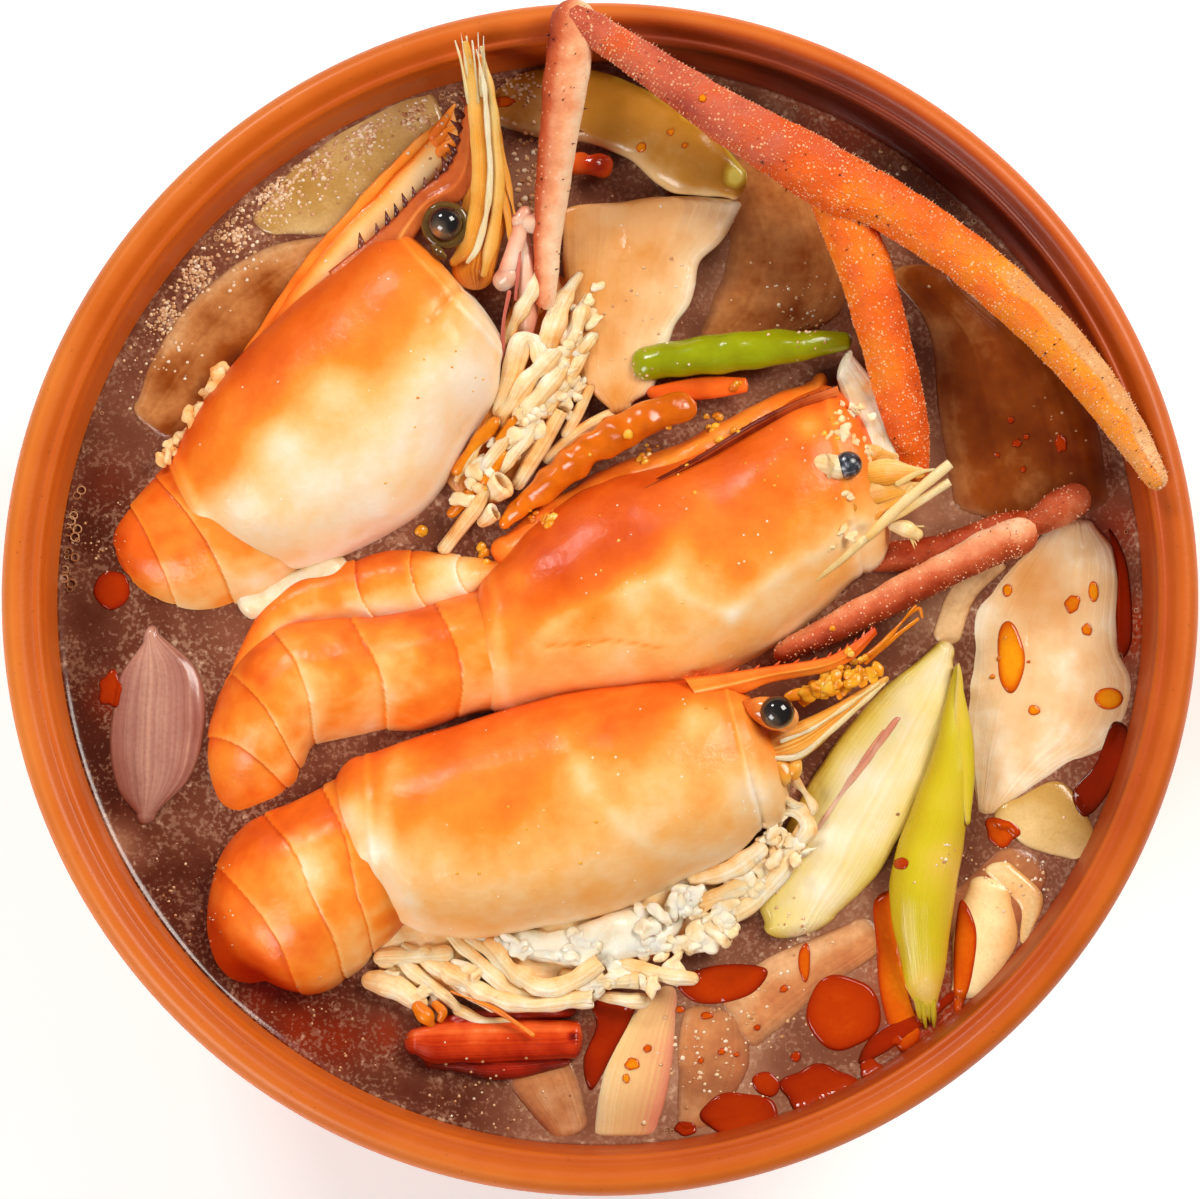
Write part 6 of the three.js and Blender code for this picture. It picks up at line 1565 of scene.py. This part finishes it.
POOLS = [
    (41, -70, 6.3, 6.3, 0.6), (23.5, -87, 6.5, 3.7, 0.55), (37, -83, 6.4, 4.2, 0.5),
    (28, -82, 2.3, 2.1, 0.5), (45.6, -79.4, 1.9, 1.7, 0.45), (14.4, -89.4, 1.9, 1.2, 0.45),
    (68, -39.5, 2.9, 2.4, 0.7), (-83, 1.5, 3.1, 3.3, 0.5), (-83, -15.5, 2.2, 2.8, 0.62),
    (50, -74.6, 1.0, 0.9, 0.5), (33, -77.4, 0.9, 0.9, 0.5), (18, -70.5, 1.1, 0.6, 0.7),
    (13.5, -69.5, 0.8, 0.6, 0.75), (20.5, -76.5, 0.6, 0.6, 0.7), (23, -77, 0.5, 0.4, 0.7),
    (17, -78, 0.5, 0.5, 0.7), (71, 26.5, 0.8, 0.7, 0.6), (72.6, 27.6, 0.5, 0.5, 0.6),
    (78.5, 26.5, 1.0, 1.6, 0.6), (70, 30.5, 0.6, 0.6, 0.6), (26.5, -72.5, 0.6, 0.5, 0.6),
    (34.5, -61.5, 1.0, 3.2, 0.75), (31, -66, 0.7, 0.6, 0.7), (50.5, -45, 1.2, 1.0, 0.6),
    (69.6, -10, 2.4, 5.8, 0.95), (69.2, 1.4, 0.8, 1.1, 0.92), (80.2, -0.9, 1.3, 1.5, 0.9),
    (82.6, -5.3, 0.9, 1.0, 0.9), (83.8, 1.2, 0.9, 1.7, 0.92), (86.2, -17, 2.4, 1.9, 0.95),
    (73.5, -19, 1.1, 0.8, 0.92), (-17, 85, 2.6, 0.9, 0.8), (7, 76.5, 0.9, 0.8, 0.92),
    (17, 81.5, 0.7, 0.7, 0.92), (12, 79, 0.6, 0.6, 0.9), (14.4, 76.6, 0.5, 0.5, 0.9),
    (8, -76, 0.7, 0.7, 0.8), (5.4, -78.6, 1.3, 1.0, 0.95), (4.4, -81, 0.6, 0.8, 0.95),
    (72, 22, 0.5, 0.5, 0.6), (67.6, 24.5, 0.5, 0.4, 0.6),
]
SHEETS = [
    ([[46.5, -51], [51, -49.6], [53, -56], [52, -66], [54, -74], [50.5, -76.5], [47.5, -68],
      [46.6, -58]], 0.82),
    ([[61, -51], [63.4, -56], [62.8, -63], [61, -69.4], [59.8, -71], [59.6, -65], [59.8, -58]], 0.75),
    ([[13, -64.5], [20, -62], [28, -62.6], [26, -66.5], [20.5, -68.4], [15.5, -68]], 0.55),
    ([[-2, -67], [3.6, -67.4], [6, -69], [2.6, -76], [-1.4, -83], [-2.8, -78], [-0.6, -72]], 0.4),
    ([[43.5, -78.4], [45.4, -74.4], [50, -71.2], [55, -69.6], [60, -66.6], [65.2, -61.6],
      [61.8, -66], [56, -71], [50, -75.4], [46, -77.8]], 0.36),
    ([[86.6, 12], [89.6, 6], [90.4, -6], [88.6, -10], [87.6, -4], [88, 4]], 0.3),
    ([[87, -21], [90, -24], [86, -33], [82, -37], [80, -33], [84, -28]], 0.25),
]
pools = [pool(*spec, seed=i) for i, spec in enumerate(POOLS)]
pools += [sheet(outline, tone) for outline, tone in SHEETS]
settle(join("chilli_oil_pools", pools), chilli_oil, "broth")

# Bubbles cling to the wall in chains: each is a thin ring, painted pale as the highlight round its
# rim, round a dark window.
deselect()
bpy.ops.mesh.primitive_torus_add(
    major_segments=12, minor_segments=5, major_radius=MM, minor_radius=0.2 * MM
)
ring_model = model_of(bpy.context.object)
chance = np.random.default_rng(5)
places, sizes = [], []
for first, last, count, largest in ((168, 179, 34, 0.75), (96, 141, 190, 0.5), (42, 53, 22, 0.4),
        (-44, -36, 26, 0.45), (-86, -79, 20, 0.35), (60, 95, 40, 0.3), (141, 168, 30, 0.3),
        (-20, 30, 40, 0.35)):
    for _ in range(count):
        angle = math.radians(chance.uniform(first, last))
        size = largest * chance.uniform(0.25, 1) ** 1.6
        radius = WALL_RADIUS - 0.1 - size - abs(chance.normal()) * 1.1
        height = BROTH_LEVEL + 0.35 + 0.1 * size
        places.append([radius * math.cos(angle), radius * math.sin(angle), height])
        sizes.append(size)
settle(copies("wall_bubbles", ring_model, places, sizes, chance.uniform(0.3, 0.9, len(places))),
 froth, "broth")

grain_points, grain_faces = ball(2)
grain_model = grain_points * (1 + 0.3 * swell(grain_points, 0.9, 3))[:, None], grain_faces


def scatter(name, drifts, material, slot, seed, highest=90):
    """Small grains in drifts of [x, y, spread, count, size, tone], on nothing over highest."""
    chance = np.random.default_rng(seed)
    places, sizes, tones = [], [], []
    for x, y, spread, count, size, tone in drifts:
        for px, py in chance.normal([x, y], spread, (count, 2)):
            if math.hypot(px, py) > 91 or on_top(px, py) > highest:
                continue
            grain = size * chance.uniform(0.5, 1.3)
            places.append([px, py, on_top(px, py) + 0.15 * grain])
            sizes.append(grain * np.array([1, chance.uniform(0.6, 1), 0.5]))
            tones.append(tone + 0.15 * chance.normal())
    return settle(copies(name, grain_model, places, sizes, np.clip(tones, 0, 1)), material, slot)


scatter("yellow_crumbs", [
    (-30.5, 11.5, 0.3, 3, 0.9, 0.5), (-20, 8, 0.7, 5, 0.8, 0.55), (-8.5, 12.8, 0.8, 12, 0.8, 0.6),
    (7, 24.5, 1.5, 10, 0.6, 0.6), (20, 30, 1.6, 8, 0.7, 0.5), (13, 25, 3, 8, 0.4, 0.6),
    (-11, 14.2, 0.6, 6, 0.6, 0.3), (43, -10.5, 1.6, 10, 0.6, 0.5), (30, 22, 4, 10, 0.3, 0.6),
    (-25, 28, 8, 12, 0.22, 0.6), (-18, -40, 10, 14, 0.22, 0.6), (12, 2, 10, 14, 0.22, 0.65),
    (39.8, 28.4, 1.2, 12, 0.5, 0.9), (22.8, 36, 0.5, 3, 0.6, 0.4), (70, -9, 2.4, 7, 0.5, 0.2),
], crumb, "shell", 1)
scatter("pale_crumbs", [
    (-12, 76, 3.0, 60, 0.35, 0.7), (-10, 70, 2.4, 50, 0.4, 0.7), (12, 55, 8, 30, 0.22, 0.8),
    (10, 40, 4, 16, 0.22, 0.8), (35, 47, 3.5, 50, 0.25, 0.8), (40, 52, 6, 30, 0.25, 0.8),
    (-34, 81, 6, 60, 0.22, 0.85), (-47, 76, 5, 120, 0.26, 0.85), (-62, 64, 5, 120, 0.26, 0.8),
    (-76, 44, 4, 70, 0.24, 0.8), (-55, 71, 2.4, 90, 0.3, 0.8), (-70, 55, 2.4, 90, 0.3, 0.75),
    (-40, 81, 2, 60, 0.3, 0.8),
    *[(89 * math.cos(a), 89 * math.sin(a), 1.8, 80, 0.3, 0.8)
      for a in np.radians(range(99, 152, 6))],
    (66, 66, 6, 14, 0.4, 0.75), (52, 76, 5, 12, 0.4, 0.75),
    (74, 52, 3, 8, 0.4, 0.7), (80, 30, 4, 20, 0.22, 0.7), (24, -73, 7, 90, 0.24, 0.8),
    (60, -44, 3, 20, 0.24, 0.8), (-46, -84, 9, 90, 0.2, 0.7), (-20, -88, 7, 80, 0.2, 0.7),
    (-70, -52, 6, 60, 0.2, 0.7), (-84, 10, 3, 30, 0.2, 0.7), (16, -79, 4, 40, 0.3, 0.85),
    (28, 42.3, 0.4, 3, 0.4, 0.7), (33, -55, 2.5, 24, 0.25, 0.8), (74, -48, 4, 50, 0.22, 0.8),
], froth, "broth", 2, highest=70)

# ------------------------------------------------------------------ floor, light and camera
deselect()
bpy.ops.mesh.primitive_plane_add(size=6)
floor = bpy.context.object
floor.name = "pale_floor"
pale = bpy.data.materials.new("pale_floor")
pale.use_nodes = True
for socket, value in {"Base Color": linear("#fdfcfa"), "Roughness": 0.8,
        "Emission Color": linear("#ffffff"), "Emission Strength": 0.22}.items():
    pale.node_tree.nodes["Principled BSDF"].inputs[socket].default_value = value
floor.data.materials.append(pale)

CAMERA_DISTANCE = 700
CAMERA_ELEVATION = math.radians(85.5)
CAMERA_TARGET = Vector((0, -1.35, 78))
LIGHT_TARGET = Vector((0, 0, 70))
camera_data = bpy.data.cameras.new("camera")
camera_data.lens = 126.35
camera_data.sensor_width = 36
camera = bpy.data.objects.new("camera", camera_data)
bpy.context.scene.collection.objects.link(camera)
away = Vector((0, -math.cos(CAMERA_ELEVATION), math.sin(CAMERA_ELEVATION)))
camera.location = (CAMERA_TARGET + away * CAMERA_DISTANCE) * MM
camera.rotation_euler = (-away).to_track_quat("-Z", "Y").to_euler()
camera_data.clip_start = 0.01
bpy.context.scene.camera = camera


def soft_light(name, place, size, power, colour="#ffffff"):
    """A square soft box that faces the bowl."""
    data = bpy.data.lights.new(name, "AREA")
    data.size = size * MM
    data.energy = power
    data.color = linear(colour)[:3]
    lamp = bpy.data.objects.new(name, data)
    lamp.location = Vector(place) * MM
    lamp.rotation_euler = (LIGHT_TARGET - Vector(place)).to_track_quat("-Z", "Y").to_euler()
    bpy.context.scene.collection.objects.link(lamp)


# No soft box hangs straight above, where the flat broth would mirror it as a haze.
soft_light("key", (560, 420, 720), 420, 8.0, "#fff9f0")
soft_light("far_fill", (-420, 640, 620), 200, 3.2, "#ffffff")
soft_light("near_fill", (-480, -480, 560), 380, 4.6, "#ffffff")

world = bpy.data.worlds.new("studio")
world.use_nodes = True
world.node_tree.nodes["Background"].inputs[0].default_value = linear("#f6f4f0")
world.node_tree.nodes["Background"].inputs[1].default_value = 0.1
bpy.context.scene.world = world
bpy.context.scene.view_settings.view_transform = "Standard"
